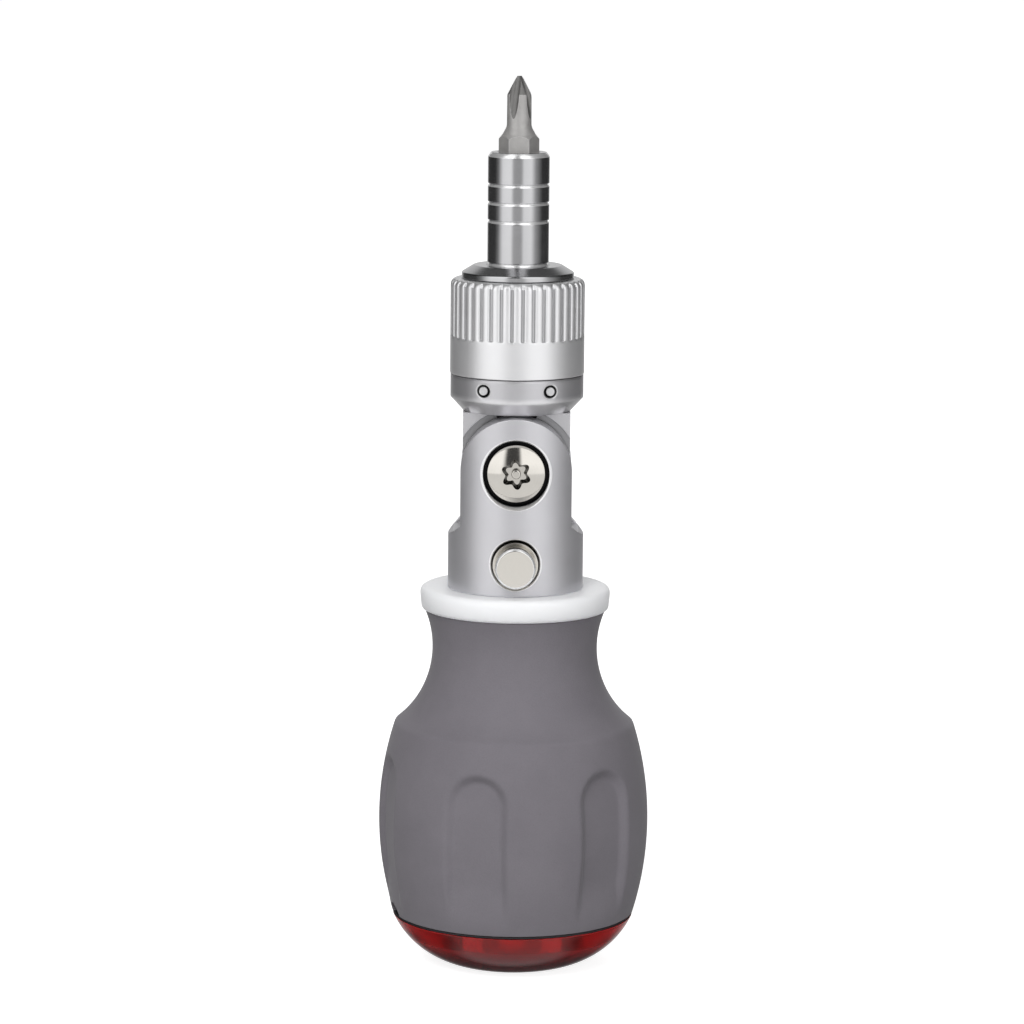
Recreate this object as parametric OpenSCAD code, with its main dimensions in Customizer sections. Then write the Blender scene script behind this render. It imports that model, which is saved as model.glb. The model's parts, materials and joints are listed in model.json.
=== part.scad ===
// Ratcheting screwdriver with a swivelling, lockable head and bit store.
// Millimetres. The flat foot of the end cap is at z = 0 and the driver tip points to +Z.
// The pivot screw and the lock button are on the -Y side.

/* [End cap] */
// Height of the clear end cap below its seam
cap_h = 9.4; // [8.8:0.1:11]
// Radius of the flat foot under the end cap
cap_foot_r = 7.6; // [6:0.1:9]
// Wall of the end cap
cap_wall = 1.5; // [1.2:0.1:1.8]
// Length of the spigot that plugs into the handle
cap_spigot_h = 5; // [4:0.5:7]
// Wall of that spigot
spigot_wall = 0.9; // [0.7:0.1:1.1]
// Height of the seam that the black seal fills
seal_t = 0.5; // [0.4:0.05:0.8]

/* [Grip] */
// Length of the grip
grip_len = 56.4; // [55:0.1:60]
// Radius of the grip at its widest
belly_r = 24.8; // [24.4:0.1:26]
// Height of the widest place above the rim, as a share of the grip's length
belly_share = 0.3032; // [0.27:0.0001:0.32]
// Radius of the waist under the neck ring
waist_r = 15.1; // [14.5:0.1:16]
// Drop of the waist below the top of the grip, as a share of its length
waist_share = 0.1259; // [0.11:0.0001:0.14]
// Drop of the crease between belly and waist, as a share of the grip's length
crease_share = 0.3745; // [0.36:0.0001:0.39]
// Place of that crease between the waist and the belly, as a share of the way out
crease_out_share = 0.704; // [0.68:0.001:0.72]
// Thickness of the soft skin
skin_t = 1.8; // [1.5:0.1:2]
// Wall of the hard core at its rim
core_wall = 0.9; // [0.8:0.1:1.2]
// Number of flutes in the grip
flute_count = 6; // [5:1:7]
// Direction of the first flute, counted from the front
flute_turn = -16; // [-30:1:30]
// Width of a flute
flute_w = 11.4; // [9:0.2:13]
// Depth of a flute
flute_depth = 1.2; // [0.8:0.1:1.4]
// Radius of the hollow of a flute
flute_arc_r = 30; // [20:1:40]
// Drop of the flutes' upper ends, as a share of the grip's length
flute_share = 0.5018; // [0.47:0.0001:0.56]
// Radius of the nail notch in the rim
notch_r = 1.7; // [1.2:0.1:2.2]
// Depth of the nail notch
notch_depth = 2; // [1:0.1:2.4]
// Direction of the nail notch, counted from the front
notch_turn = -79; // [-85:1:-70]

/* [Neck ring] */
// Height of the white neck ring
ring_h = 4.1; // [3.6:0.1:5]
// Radius of the neck ring
ring_r = 17.5; // [17:0.1:19]
// Rounding of its outer edges
ring_round = 1.8; // [1:0.1:1.8]
// Length of its spigot in the handle core
ring_spigot_h = 3; // [2:0.5:4]
// Wall of the core around that spigot
ring_seat_wall = 1.75; // [1.4:0.05:2.4]

/* [Bit store] */
// Number of stored bits
store_count = 8; // [6:2:8]
// Wall of the carrier outside a pocket
store_wall = 0.54; // [0.4:0.02:1]
// Wall of the carrier above the pockets
carrier_roof = 4.25; // [3:0.05:5]
// Height of the carrier's foot above the rim of the grip
carrier_rise = 2.05; // [1.5:0.05:3]
// Room between the stored bits and the dome of the cap
store_room = 0.36; // [0.3:0.02:0.6]
// Radius of the well in the middle of the carrier, as a share of the way out to the pockets
well_share = 0.615; // [0.6:0.005:0.7]

/* [Bits] */
// Size across flats of the bit hexagon
bit_af = 6.35; // [6.3:0.05:6.4]
// Length of a bit
bit_len = 25; // [24:0.5:26]
// Length of the turned end past the hexagon
bit_nose_len = 10.6; // [10:0.1:11.5]
// Height of the taper between hexagon and shank
bit_taper_h = 1.9; // [1.4:0.1:2.4]
// Radius of the turned shank of a bit
bit_shank_r = 2.2; // [2:0.05:2.5]
// Length of the pointed end
bit_point_h = 3.3; // [2.8:0.1:3.8]
// Radius of the blunt end of the cross point
bit_tip_r = 0.6; // [0.4:0.05:0.8]
// Length of the flutes of the cross point
bit_flute_h = 7.2; // [6:0.1:8]
// Direction of the first flute of the cross point
bit_flute_turn = 61; // [0:1:90]
// Depth of the bit socket
socket_depth = 11.4; // [10.5:0.1:12]

/* [Yoke] */
// Radius of the yoke
yoke_r = 12.36; // [12.2:0.02:12.6]
// Radius and half width of the ears
ear_r = 10.1; // [9.9:0.05:10.4]
// Size across flats of the shank
shank_af = 11; // [10.5:0.1:11.2]
// Thickness of the tongue between the ears
tongue_t = 10.4; // [10:0.1:10.8]
// Set back of the tongue's edge from the edge of the ears
tongue_set = 0.35; // [0.25:0.05:0.5]
// Reach of the round recess in each face past the edge of the tongue
recess_reach = 1.55; // [1.25:0.05:2]
// Depth of that recess
recess_depth = 0.75; // [0.6:0.05:0.9]
// Room between the tongue and the floor of the slot
slot_room = 1.6; // [1.4:0.1:1.8]

/* [Pivot] */
// Radius of the pivot barrel
barrel_r = 4; // [3.6:0.1:4.4]
// Radius of the pivot screw's thread
pivot_thread_r = 2.4; // [2:0.1:2.8]
// Radius of the pivot screw's head
pivot_head_r = 5.3; // [5:0.1:5.5]
// Height of the pivot screw's head
pivot_head_h = 2.6; // [2.2:0.1:2.8]
// Radius of the head's dome
pivot_dome_r = 12; // [10:1:20]
// Radius of the counterbore around the head
counterbore_r = 5.92; // [5.8:0.02:6.1]
// Depth of the counterbore
counterbore_depth = 3.6; // [3.2:0.1:4]
// Widening of the counterbore at its mouth
mouth_flare = 0.5; // [0.3:0.1:0.6]
// Depth of that widening
mouth_depth = 2.2; // [1.6:0.1:2.6]
// Size across the lobes of the drive recess
lobe_w = 5.5; // [5:0.1:6]
// Depth of the drive recess
lobe_depth = 1.7; // [1.2:0.1:2]

/* [Lock] */
// Height of the lock button above the foot of the yoke
button_rise = 5.85; // [5.8:0.05:6.2]
// Depth of the button's middle under the floor of the slot
button_drop = 5; // [4.8:0.05:6]
// Radius of the lock button
button_r = 3.7; // [3.5:0.05:3.8]
// Bevel of the button's front edge
button_bevel = 0.67; // [0.4:0.01:0.8]
// Height of the button proud of the yoke
button_proud = 2.5; // [2.5:0.1:3]
// Travel of the button
button_travel = 2.5; // [2:0.1:2.5]
// Radius of the well around the button
button_well_r = 4.2; // [4.1:0.05:4.4]
// Radius of the button's inner shank
button_shank_r = 2.8; // [2.6:0.05:2.9]
// Drop of the brake shoe for each unit of button travel
ramp_slope = 0.5; // [0.48:0.01:0.55]
// Radius of the shoe's upper stem
shoe_stem_r = 1.5; // [1.4:0.05:1.6]
// Radius of the shoe's collar under the ramp
shoe_collar_r = 2.3; // [2.1:0.05:2.4]
// Radius of the shoe's guide in the yoke
shoe_guide_r = 2.95; // [2.8:0.05:3]
// Length of that guide
shoe_guide_h = 8; // [7:0.1:9]
// Depth of the V groove in the tongue's rim
groove_depth = 1.1; // [0.9:0.05:1.15]
// Height of the spring under the shoe
lock_spring_h = 7; // [6:0.1:9]
// Radius of the spring's wire
lock_wire_r = 0.35; // [0.3:0.01:0.4]
// Turns of that spring
lock_turns = 5; // [4:1:6]

/* [Shank screw] */
// Radius of the screw's thread
screw_r = 3; // [2.9:0.05:3]
// Radius of the screw's head
screw_head_r = 5; // [4.5:0.1:5.5]
// Height of the screw's head
screw_head_h = 6; // [5:0.1:6.5]
// Radius of the washer
screw_washer_r = 6.5; // [6:0.1:6.9]
// Thickness of the washer
screw_washer_t = 1.2; // [1:0.1:1.6]
// Thickness of the core's web above the washer
web_t = 3.5; // [3:0.1:4]
// Height of the screw well under the web
screw_well_h = 6.5; // [6:0.1:7]

/* [Ratchet head] */
// Gap between the ears and the housing
head_gap = 0.35; // [0.3:0.05:0.5]
// Set back of the housing from the collar
housing_set = 0.1; // [0.05:0.05:0.3]
// Height of the housing below the collar
housing_h = 6.55; // [6.2:0.05:7.5]
// Radius of the housing's foot
housing_foot_r = 9.84; // [9.75:0.02:10]
// Height of the bevel above that foot
housing_bevel_h = 2.45; // [2.2:0.05:2.8]
// Radius of the pivot head's stub in the housing
stub_r = 6.4; // [6.2:0.05:6.6]
// Height of the housing above that stub
stub_drop = 0.6; // [0.5:0.05:0.9]
// Distance of the two head pins from the middle
head_pin_x = 6; // [5.8:0.05:6.2]
// Depth of the head pins below the top of the housing
head_pin_drop = 2; // [1.8:0.05:2.5]
// Radius of a head pin
head_pin_r = 0.8; // [0.7:0.05:0.9]
// Radius of the mouth of a head pin's hole
head_pin_mouth_r = 1.15; // [1:0.05:1.25]
// Wall of the neck that the collar turns on
neck_wall = 2.65; // [2.6:0.01:2.75]
// Room around the gear in the neck
gear_room = 0.25; // [0.2:0.01:0.3]

/* [Collar and nose] */
// Height of the selector collar
collar_h = 17.3; // [17:0.1:19]
// Wall of the selector collar
collar_wall = 3.22; // [3:0.02:3.5]
// Rounding of its upper edge
collar_round = 1.2; // [0.8:0.1:1.5]
// Height of the plain band under the knurl
band_h = 6.8; // [5:0.1:8]
// Number of knurl grooves
knurl_count = 38; // [30:1:44]
// Radius of a knurl groove
knurl_groove_r = 0.36; // [0.25:0.01:0.45]
// Set back of the nose ring's foot from the collar
nose_set = 2; // [1.6:0.1:2.2]
// Wall of the nose ring at its top
nose_wall = 2.02; // [1.5:0.02:2.3]
// Height of the nose ring's straight edge
nose_edge_h = 0.5; // [0.3:0.1:0.8]
// Height of the nose ring's bevel
nose_bevel_h = 2.4; // [2:0.1:2.8]
// Length of the nose ring's spigot in the neck
nose_spigot_h = 3.4; // [3:0.1:3.6]
// Wall of the neck around that spigot
nose_seat_wall = 1.25; // [1.15:0.05:1.45]

/* [Spindle] */
// Radius of the bit holder
holder_r = 5.6; // [5.5:0.05:5.7]
// Length of the bit holder above the nose ring
holder_h = 19.8; // [19:0.1:22]
// Bevel of the bit holder's mouth
holder_bevel = 0.5; // [0.3:0.1:0.8]
// Number of grip grooves around the bit holder
holder_grooves = 3; // [2:1:4]
// Distance of the first groove below the mouth
holder_groove_drop = 5.75; // [5:0.05:6.5]
// Spacing of the grooves
holder_groove_step = 3.3; // [2.8:0.05:3.6]
// Width of a groove
holder_groove_w = 0.5; // [0.3:0.05:0.7]
// Depth of a groove
holder_groove_depth = 0.3; // [0.2:0.05:0.4]
// Radius of the spindle's lower journal
journal_r = 3; // [2.8:0.05:3.1]
// Length of that journal in its bush
journal_h = 6; // [5.5:0.1:6.2]
// Size across flats of the gear seat
gear_af = 7; // [6.8:0.05:7.2]
// Number of ratchet teeth
tooth_count = 24; // [20:1:28]
// Reach of the teeth past the bit holder
tooth_reach = 0.4; // [0.35:0.01:0.42]
// Depth of the teeth
tooth_depth = 0.7; // [0.6:0.05:0.8]
// Room between the gear and the bush above it
gear_top_room = 0.65; // [0.4:0.05:1]
// Thickness of the washer under the gear
gear_washer_t = 0.7; // [0.5:0.1:0.9]
// Radius of the bit magnet
magnet_r = 2.5; // [2:0.1:2.8]
// Height of the bit magnet
magnet_h = 3; // [2.5:0.1:4]

/* [Pawl] */
// Turn of the pawl to either side
pawl_swing = 10; // [9:0.5:10.5]
// Distance of the pawl's pin past the tips of the teeth
pawl_pin_out = 1.35; // [1.3:0.01:1.4]
// Radius of the pawl's pin
pawl_pin_r = 0.55; // [0.5:0.01:0.6]
// Half angle that the pawl spans
pawl_span = 43; // [42:0.5:44]
// Set back of the pawl's flat back inside the neck
pawl_back_set = 0.47; // [0.46:0.01:0.5]
// Set back of the pawl's ends from the ends of the gear
pawl_inset = 1; // [0.8:0.1:1.2]
// Radius of the selector ball
ball_r = 0.9; // [0.8:0.02:0.95]
// Radius of the wire of the selector spring
ball_wire_r = 0.12; // [0.1:0.01:0.14]
// Turns of the selector spring
ball_turns = 3; // [2:1:4]

/* [Hidden] */
$fn = 96;

// Overrun of every cut
over = 1;
// Room between pieces that are seated on each other
fit = 0.05;
// Room in a running fit
run_gap = 0.08;
// Room between faces that pass each other
pass_gap = 0.15;
// Step between the rim of the cap and the rim of the grip
seam_step = 0.1;
// Room above the cap's spigot
spigot_end_room = 0.3;
// Room between the housing and the yoke's shoulder when the head lies flat
shoulder_room = 0.4;
// Height above the pivot where the tongue's straight flanks start
flank_rise = 3;
// Half width of the V groove at its mouth and at its floor
groove_mouth = 1.1;
groove_floor = 0.45;
// Depth of the mouth of a head pin's hole
pin_mouth_depth = 0.6;
// Depth of the button's well past the face of the slot
well_floor_room = 0.15;
// Length of the button's guide behind the shoe
button_tail = 4;
// Room between the pawl and the gear when the pawl is level
pawl_room = 0.12;
// Room around a pawl tooth in the gear
mesh_room = 0.06;
// Room around the pawl in its window
window_room = 0.2;
// Angle that the window is wider than the pawl on either side
window_turn = 5;
// Depth of the pawl pin's seats in the neck
pawl_pin_seat = 1.4;
// Height of the spindle bush
bush_h = 4;
// Height of the gear's floor above the shoulder of the housing
gear_floor_rise = 0.7;
// Wall of the bush around the journal
foot_bush_wall = 1.15;
// Socket of the shank screw: size across flats and depth
screw_socket_af = 5;
screw_socket_depth = 3;
// Width and depth of the coin slot in the pivot barrel's head
coin_slot_w = 1.4;
coin_slot_depth = 1.2;
// Bevel of the bit's hexagon ends
bit_bevel = 0.5;
// Set back of the bit's taper from the flats of its hexagon
bit_land = 0.12;
// Share of the bit's shank that is the corner reach of a key point
key_share = 0.92;
// Share of the bit's shank where the flats of a slot point start
slot_root_share = 1.15;
// Radius of the pin in the middle of the drive recess
lobe_pin_r = 0.85;
// Drop of that pin's end below the mouth of the recess
lobe_pin_drop = 0.3;
// Shares of the tooth pitch that are half a tooth at its tip and at its root
tooth_tip_share = 0.147;
tooth_root_share = 0.367;
// Share of the recess size that makes its core and its lobes
lobe_core_share = 0.38;
lobe_place_share = 0.36;
lobe_round_share = 0.14;

// Heights and curves of the handle
belly_rise = grip_len * belly_share;
waist_drop = grip_len * waist_share;
flute_drop = grip_len * flute_share;
grip_z = cap_h + seal_t;
grip_top_z = grip_z + grip_len;
belly_z = grip_z + belly_rise;
waist_z = grip_top_z - waist_drop;
crease_z = grip_top_z - grip_len * crease_share;
crease_r = waist_r + (belly_r - waist_r) * crease_out_share;
belly_arc_r = arc_radius(crease_z - belly_z, belly_r - crease_r);
waist_arc_r = arc_radius(waist_z - crease_z, crease_r - waist_r);
belly_x = belly_r - belly_arc_r;
rim_r = belly_x + sqrt(pow(belly_arc_r, 2) - pow(belly_rise, 2));
core_rim_r = belly_x + sqrt(pow(belly_arc_r - skin_t - fit, 2) - pow(belly_rise, 2));
cap_rim_r = rim_r - seam_step;
cap_dome_r = arc_radius(cap_rim_r - cap_foot_r, cap_h);
spigot_bore_r = core_rim_r - core_wall;
spigot_r = spigot_bore_r - run_gap;
spigot_in_r = spigot_r - spigot_wall;
carrier_r = spigot_in_r - run_gap;
ring_spigot_r = waist_r - skin_t - fit - ring_seat_wall;

// Bits and their store, which stands just clear of the cap's dome
bit_hex_len = bit_len - bit_nose_len;
bit_point_z = bit_len - bit_point_h;
bit_foot_r = hex_corner(bit_af) - bit_bevel;
bit_neck_r = bit_af / 2 - bit_land;
store_r = carrier_r - store_wall - fit - bit_af / 2;
carrier_well_r = well_share * (store_r - bit_af / 2 - fit);
store_out = store_r + hex_corner(bit_af) - cap_foot_r;
store_z = cap_dome_r - sqrt(pow(cap_dome_r - cap_wall, 2) - pow(store_out, 2)) + store_room;
pocket_top_z = store_z + bit_len + pass_gap;
carrier_z = grip_z + carrier_rise;
carrier_h = pocket_top_z + carrier_roof - carrier_z;

// Heights of the shank's seat above the store, and of the yoke
ceiling_z = carrier_z + carrier_h + fit;
web_z = ceiling_z + screw_well_h;
shank_foot_z = web_z + web_t + fit;
screw_seat_z = web_z - fit - screw_washer_t;
yoke_z = grip_top_z + ring_h + fit;
shank_len = yoke_z - shank_foot_z;
shank_corner_r = hex_corner(shank_af);
button_z = yoke_z + button_rise;
slot_floor_z = button_z + button_drop;
tongue_r = ear_r - tongue_set;
pivot_z = slot_floor_z + slot_room + tongue_r;
pivot_rise = pivot_z - yoke_z;
recess_r = tongue_r + recess_reach;

// Pivot and lock
tongue_half = tongue_t / 2;
tongue_in_half = tongue_half - recess_depth;
slot_half = tongue_half + pass_gap;
seat_y = yoke_r - counterbore_depth;
button_front_y = -(yoke_r + button_proud);
well_floor_y = -(slot_half - well_floor_room);
button_back_y = well_floor_y - button_travel - pass_gap;
ramp_end_y = shoe_collar_r + pass_gap;
ramp_start_y = -(shoe_collar_r + button_travel + pass_gap);
button_tail_y = ramp_end_y + button_tail;
ramp_low_z = button_z - button_shank_r;
shoe_collar_z = ramp_low_z + ramp_slope * (-shoe_collar_r - ramp_start_y) - fit;
shoe_guide_top_z = ramp_low_z - pass_gap;
shoe_foot_z = shoe_guide_top_z - shoe_guide_h;
screw_tip_z = shoe_foot_z - lock_spring_h - 2 * fit;
screw_len = screw_tip_z - screw_seat_z;

// Radii of the head, from the spindle outwards
tooth_tip_r = holder_r + tooth_reach;
gear_bore_r = tooth_tip_r + gear_room;
neck_r = gear_bore_r + neck_wall;
collar_bore_r = neck_r + run_gap;
collar_r = collar_bore_r + collar_wall;
housing_r = collar_r - housing_set;
nose_r = collar_r - nose_set;
nose_top_r = holder_r + run_gap + nose_wall;
nose_spigot_r = neck_r - nose_seat_wall - fit;
foot_bush_r = journal_r + run_gap + foot_bush_wall;

// Heights of the head
housing_z = pivot_z + ear_r + head_gap;
housing_top_z = housing_z + housing_h;
housing_bevel_z = housing_z + housing_bevel_h;
stub_h = housing_h - stub_drop;
stub_top_z = housing_z + stub_h;
head_pin_z = housing_top_z - head_pin_drop;
head_pin_reach = sqrt(pow(housing_r, 2) - pow(head_pin_x, 2));
floor_z = housing_top_z + gear_floor_rise;
gear_z = floor_z + gear_washer_t + 2 * fit;
collar_z = housing_top_z + pass_gap;
collar_top_z = collar_z + collar_h;
nose_z = collar_top_z + pass_gap;
nose_top_z = nose_z + nose_edge_h + nose_bevel_h;
nose_spigot_z = nose_z - nose_spigot_h;
bush_z = nose_spigot_z - fit - bush_h;
gear_top_z = bush_z - gear_top_room;
gear_h = gear_top_z - gear_z;
holder_z = gear_top_z + fit;
holder_top_z = nose_top_z + holder_h;
socket_z = holder_top_z - socket_depth;
bit_z = socket_z + fit;
magnet_z = socket_z - magnet_h;

// Pawl and its spring ball
pawl_pin_y = tooth_tip_r + pawl_pin_out;
pawl_back_y = neck_r - pawl_back_set;
pawl_h = gear_h - 2 * pawl_inset;
pawl_z = gear_z + pawl_inset;
pawl_window_z = pawl_z - window_room;
pawl_window_h = pawl_h + 2 * window_room;
ball_y = pawl_back_y + fit + ball_r;
ball_z = pawl_z + pawl_h / 2;
ball_hole_y = collar_r - 2 * knurl_groove_r;

// Shoulder of the yoke, which follows the housing's bevel when the head lies flat
bevel_rate = (housing_r - housing_foot_r) / housing_bevel_h;
shoulder_top_z = pivot_z - housing_foot_r - shoulder_room;
shoulder_low_z = shoulder_top_z - bevel_rate * (yoke_r - ear_r);

// Corner radius of a hexagon of a given size across flats
function hex_corner(af) = af / (2 * cos(30));

// Radius of an arc, from half of its chord and its rise
function arc_radius(half_chord, rise) = (pow(half_chord, 2) + pow(rise, 2)) / (2 * rise);

// A round bar along Y at a height
module y_bar(r, from, to, z) {
  translate([0, from, z]) rotate([-90, 0, 0]) cylinder(r = r, h = to - from);
}

// A cone along Y at a height
module y_cone(r_from, r_to, from, to, z) {
  translate([0, from, z]) rotate([-90, 0, 0]) cylinder(r1 = r_from, r2 = r_to, h = to - from);
}

// A face drawn in x and z, made solid along Y to both sides
module along_y(half) {
  rotate([90, 0, 0]) linear_extrude(height = 2 * half, center = true) children();
}

// A face drawn in y and z, made solid along X to both sides
module along_x(half) {
  rotate([90, 0, 90]) linear_extrude(height = 2 * half, center = true) children();
}

// A hexagonal bar that stands on a height
module hex_bar(af, h, z) {
  translate([0, 0, z]) cylinder(r = hex_corner(af), h = h, $fn = 6);
}

// A ring with a plain bore
module tube(r, bore, h, z) {
  translate([0, 0, z]) difference() {
    cylinder(r = r, h = h);
    translate([0, 0, -over]) cylinder(r = bore, h = h + 2 * over);
  }
}

// A coil of round wire, one unbroken tube that climbs from z = 0
module coil(coil_r, wire_r, turns, h) {
  sides = 6;
  steps = 12 * turns;
  points = [
    for (i = [0 : steps], s = [0 : sides - 1])
      let (turn = 360 * turns * i / steps, a = 360 * s / sides, reach = coil_r + wire_r * cos(a))
        [reach * cos(turn), reach * sin(turn), wire_r + (h - 2 * wire_r) * i / steps + wire_r * sin(a)]
  ];
  walls = [
    for (i = [0 : steps - 1], s = [0 : sides - 1])
      let (a = i * sides + s, b = i * sides + (s + 1) % sides)
        each [[a, b, a + sides], [b, b + sides, a + sides]]
  ];
  ends = [
    for (s = [1 : sides - 2])
      each [[0, s + 1, s], [steps * sides, steps * sides + s, steps * sides + s + 1]]
  ];
  polyhedron(points = points, faces = concat(walls, ends));
}

// Half section of the handle, drawn in by an inset
module grip_outline(inset) {
  difference() {
    union() {
      intersection() {
        translate([belly_x, belly_z]) circle(r = belly_arc_r - inset);
        translate([0, grip_z]) square([belly_r, waist_z - grip_z]);
      }
      translate([0, waist_z]) square([waist_r + waist_arc_r, waist_drop]);
    }
    translate([waist_r + waist_arc_r, waist_z]) circle(r = waist_arc_r + inset);
  }
}

// One flute, cut along the curve of the belly, on the front side
module flute() {
  intersection() {
    translate([0, -belly_x, belly_z]) rotate([0, 90, 0]) rotate_extrude()
      translate([belly_arc_r - flute_depth + flute_arc_r, 0]) circle(r = flute_arc_r);
    rotate([90, 0, 0]) linear_extrude(height = belly_r + over) {
      translate([0, grip_top_z - flute_drop - flute_w / 2]) circle(d = flute_w);
      translate([-flute_w / 2, grip_z - over])
        square([flute_w, grip_len - flute_drop - flute_w / 2 + over]);
    }
  }
}

// Soft skin of the handle
module grip() {
  color("#75717a") difference() {
    rotate_extrude() difference() {
      grip_outline(0);
      grip_outline(skin_t);
    }
    for (i = [0 : flute_count - 1])
      rotate([0, 0, flute_turn + i * 360 / flute_count]) flute();
    rotate([0, 0, notch_turn]) translate([0, notch_depth - rim_r, grip_z])
      rotate([90, 0, 0]) cylinder(r = notch_r, h = notch_depth + over);
  }
}

// Hard core under the skin, with the store below and the shank's seat above
module handle_core() {
  color("#3a3a3e") difference() {
    rotate_extrude() grip_outline(skin_t + fit);
    translate([0, 0, grip_z - over]) {
      cylinder(r = spigot_bore_r, h = cap_spigot_h + spigot_end_room + over);
      cylinder(r = carrier_r + fit, h = ceiling_z - grip_z + over);
    }
    translate([0, 0, ceiling_z - over])
      cylinder(r = screw_washer_r + fit, h = screw_well_h + over);
    translate([0, 0, web_z - over]) cylinder(r = screw_r + pass_gap, h = web_t + 2 * over);
    hex_bar(shank_af + 2 * fit, shank_len + over, shank_foot_z - fit);
    translate([0, 0, grip_top_z - ring_spigot_h - fit])
      cylinder(r = ring_spigot_r + fit, h = ring_spigot_h + fit + over);
  }
}

// White ring between grip and yoke
module neck_ring() {
  bore = shank_corner_r + pass_gap;
  color("#eef0f4") rotate_extrude() {
    translate([bore, grip_top_z - ring_spigot_h])
      square([ring_spigot_r - bore, ring_spigot_h + ring_h / 2]);
    translate([bore, grip_top_z + fit])
      square([ring_r - ring_round - bore, ring_h - fit]);
    translate([bore, grip_top_z + fit + ring_round])
      square([ring_r - bore, ring_h - fit - 2 * ring_round]);
    for (z = [grip_top_z + fit + ring_round, grip_top_z + ring_h - ring_round])
      translate([ring_r - ring_round, z]) circle(r = ring_round);
  }
}

// Half section of the cap's dome, drawn in by an inset
module cap_outline(inset) {
  intersection() {
    union() {
      translate([cap_foot_r, cap_dome_r]) circle(r = cap_dome_r - inset);
      translate([0, inset]) square([cap_foot_r, cap_h]);
    }
    square([cap_rim_r, cap_h]);
  }
}

// Clear red cap that closes the store
module end_cap() {
  color("#c8102e") rotate_extrude() difference() {
    union() {
      cap_outline(0);
      translate([0, cap_h - cap_wall]) square([spigot_r, cap_wall + cap_spigot_h]);
    }
    intersection() {
      cap_outline(cap_wall);
      square([spigot_in_r, cap_h]);
    }
    translate([0, cap_h - cap_wall]) square([spigot_in_r, cap_wall + cap_spigot_h + over]);
  }
}

// Black seal in the seam, around the cap's spigot
module cap_seal() {
  color("#18181a") tube(cap_rim_r - seam_step, spigot_r + fit, seal_t - 2 * fit, cap_h + fit);
}

// Block with a pocket for each stored bit, open at its foot
module bit_carrier() {
  color("#242428") difference() {
    translate([0, 0, carrier_z]) cylinder(r = carrier_r, h = carrier_h);
    translate([0, 0, carrier_z - over]) cylinder(r = carrier_well_r, h = carrier_h + 2 * over);
    for (i = [0 : store_count - 1])
      store_place(i) hex_bar(bit_af + 2 * fit, pocket_top_z - carrier_z + over, carrier_z - over);
  }
}

// Moves its children to one pocket of the store, a flat towards the rim
module store_place(index) {
  rotate([0, 0, (index + 1 / 2) * 360 / store_count]) translate([0, store_r, 0]) children();
}

// Half section of a bit, up to its turned end
function bit_profile(point) = concat(
  [
    [0, 0], [bit_foot_r, 0], [bit_foot_r + bit_taper_h, bit_taper_h],
    [bit_neck_r + bit_taper_h, bit_hex_len - bit_taper_h], [bit_neck_r, bit_hex_len],
    [bit_shank_r, bit_hex_len + bit_taper_h]
  ],
  point == "cross" ? [[bit_shank_r, bit_point_z], [bit_tip_r, bit_len], [0, bit_len]]
    : point == "slot" ? [[bit_shank_r, bit_len], [0, bit_len]]
    : [[bit_shank_r, bit_point_z], [0, bit_point_z]]
);

// A bit that stands on its hexagonal end at z = 0
module bit(point) {
  difference() {
    intersection() {
      hex_bar(bit_af, bit_len + 2 * over, -over);
      rotate_extrude() polygon(bit_profile(point));
    }
    translate([0, 0, bit_len]) {
      if (point == "cross") cross_flutes();
      if (point == "slot") slot_flats();
    }
  }
  translate([0, 0, bit_point_z - over]) {
    if (point == "hex") key_point(6);
    if (point == "square") key_point(4);
  }
}

// Straight point with flat sides
module key_point(sides) {
  cylinder(r = bit_shank_r * key_share, h = bit_point_h + over, $fn = sides);
}

// Four V cuts of a cross point that run out in the shank, the bit's end at z = 0
module cross_flutes() {
  lean = atan((bit_shank_r - bit_tip_r / 2) / bit_flute_h);
  reach = bit_nose_len - bit_taper_h;
  for (i = [0 : 3])
    rotate([0, 0, bit_flute_turn + 90 * i]) translate([bit_tip_r / 2, 0, 0]) rotate([0, -lean, 0])
      rotate([0, 0, -45]) translate([0, 0, -reach]) cube([bit_len, bit_len, reach + bit_point_h]);
}

// Two slanting cuts that leave the blade of a slot point, the bit's end at z = 0
module slot_flats() {
  root = bit_shank_r * slot_root_share;
  for (side = [0, 1]) mirror([side, 0, 0]) along_y(bit_shank_r + over) polygon([
    [root, -bit_point_h], [root + over, -bit_point_h], [root + over, over],
    [bit_tip_r / 2, over], [bit_tip_r / 2, 0]
  ]);
}

// The two stored bits of one kind, across from each other
module stored_pair(first, point) {
  color("#55565a") for (i = [first, first + store_count / 2])
    store_place(i) translate([0, 0, store_z]) bit(point);
}

module stored_cross_bits() stored_pair(0, "cross");
module stored_slot_bits() stored_pair(1, "slot");
module stored_hex_bits() stored_pair(2, "hex");
module stored_square_bits() stored_pair(3, "square");

// Socket screw that draws the yoke's shank into the core
module shank_screw() {
  color("#4a4a4e") difference() {
    union() {
      translate([0, 0, screw_seat_z - screw_head_h]) cylinder(r = screw_head_r, h = screw_head_h);
      translate([0, 0, screw_seat_z - fit]) cylinder(r = screw_r, h = screw_len + fit);
    }
    hex_bar(screw_socket_af, screw_socket_depth + over, screw_seat_z - screw_head_h - over);
  }
}

module shank_washer() {
  color("#9a9a9e") tube(screw_washer_r, screw_r + pass_gap, screw_washer_t - fit, screw_seat_z + fit);
}

// Front view of the yoke: base, sloping shoulders and round ears
module yoke_face() {
  translate([0, pivot_z]) circle(r = ear_r);
  polygon([
    [-yoke_r, yoke_z], [yoke_r, yoke_z], [yoke_r, shoulder_low_z], [ear_r, shoulder_top_z],
    [ear_r, pivot_z], [-ear_r, pivot_z], [-ear_r, shoulder_top_z], [-yoke_r, shoulder_low_z]
  ]);
}

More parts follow.
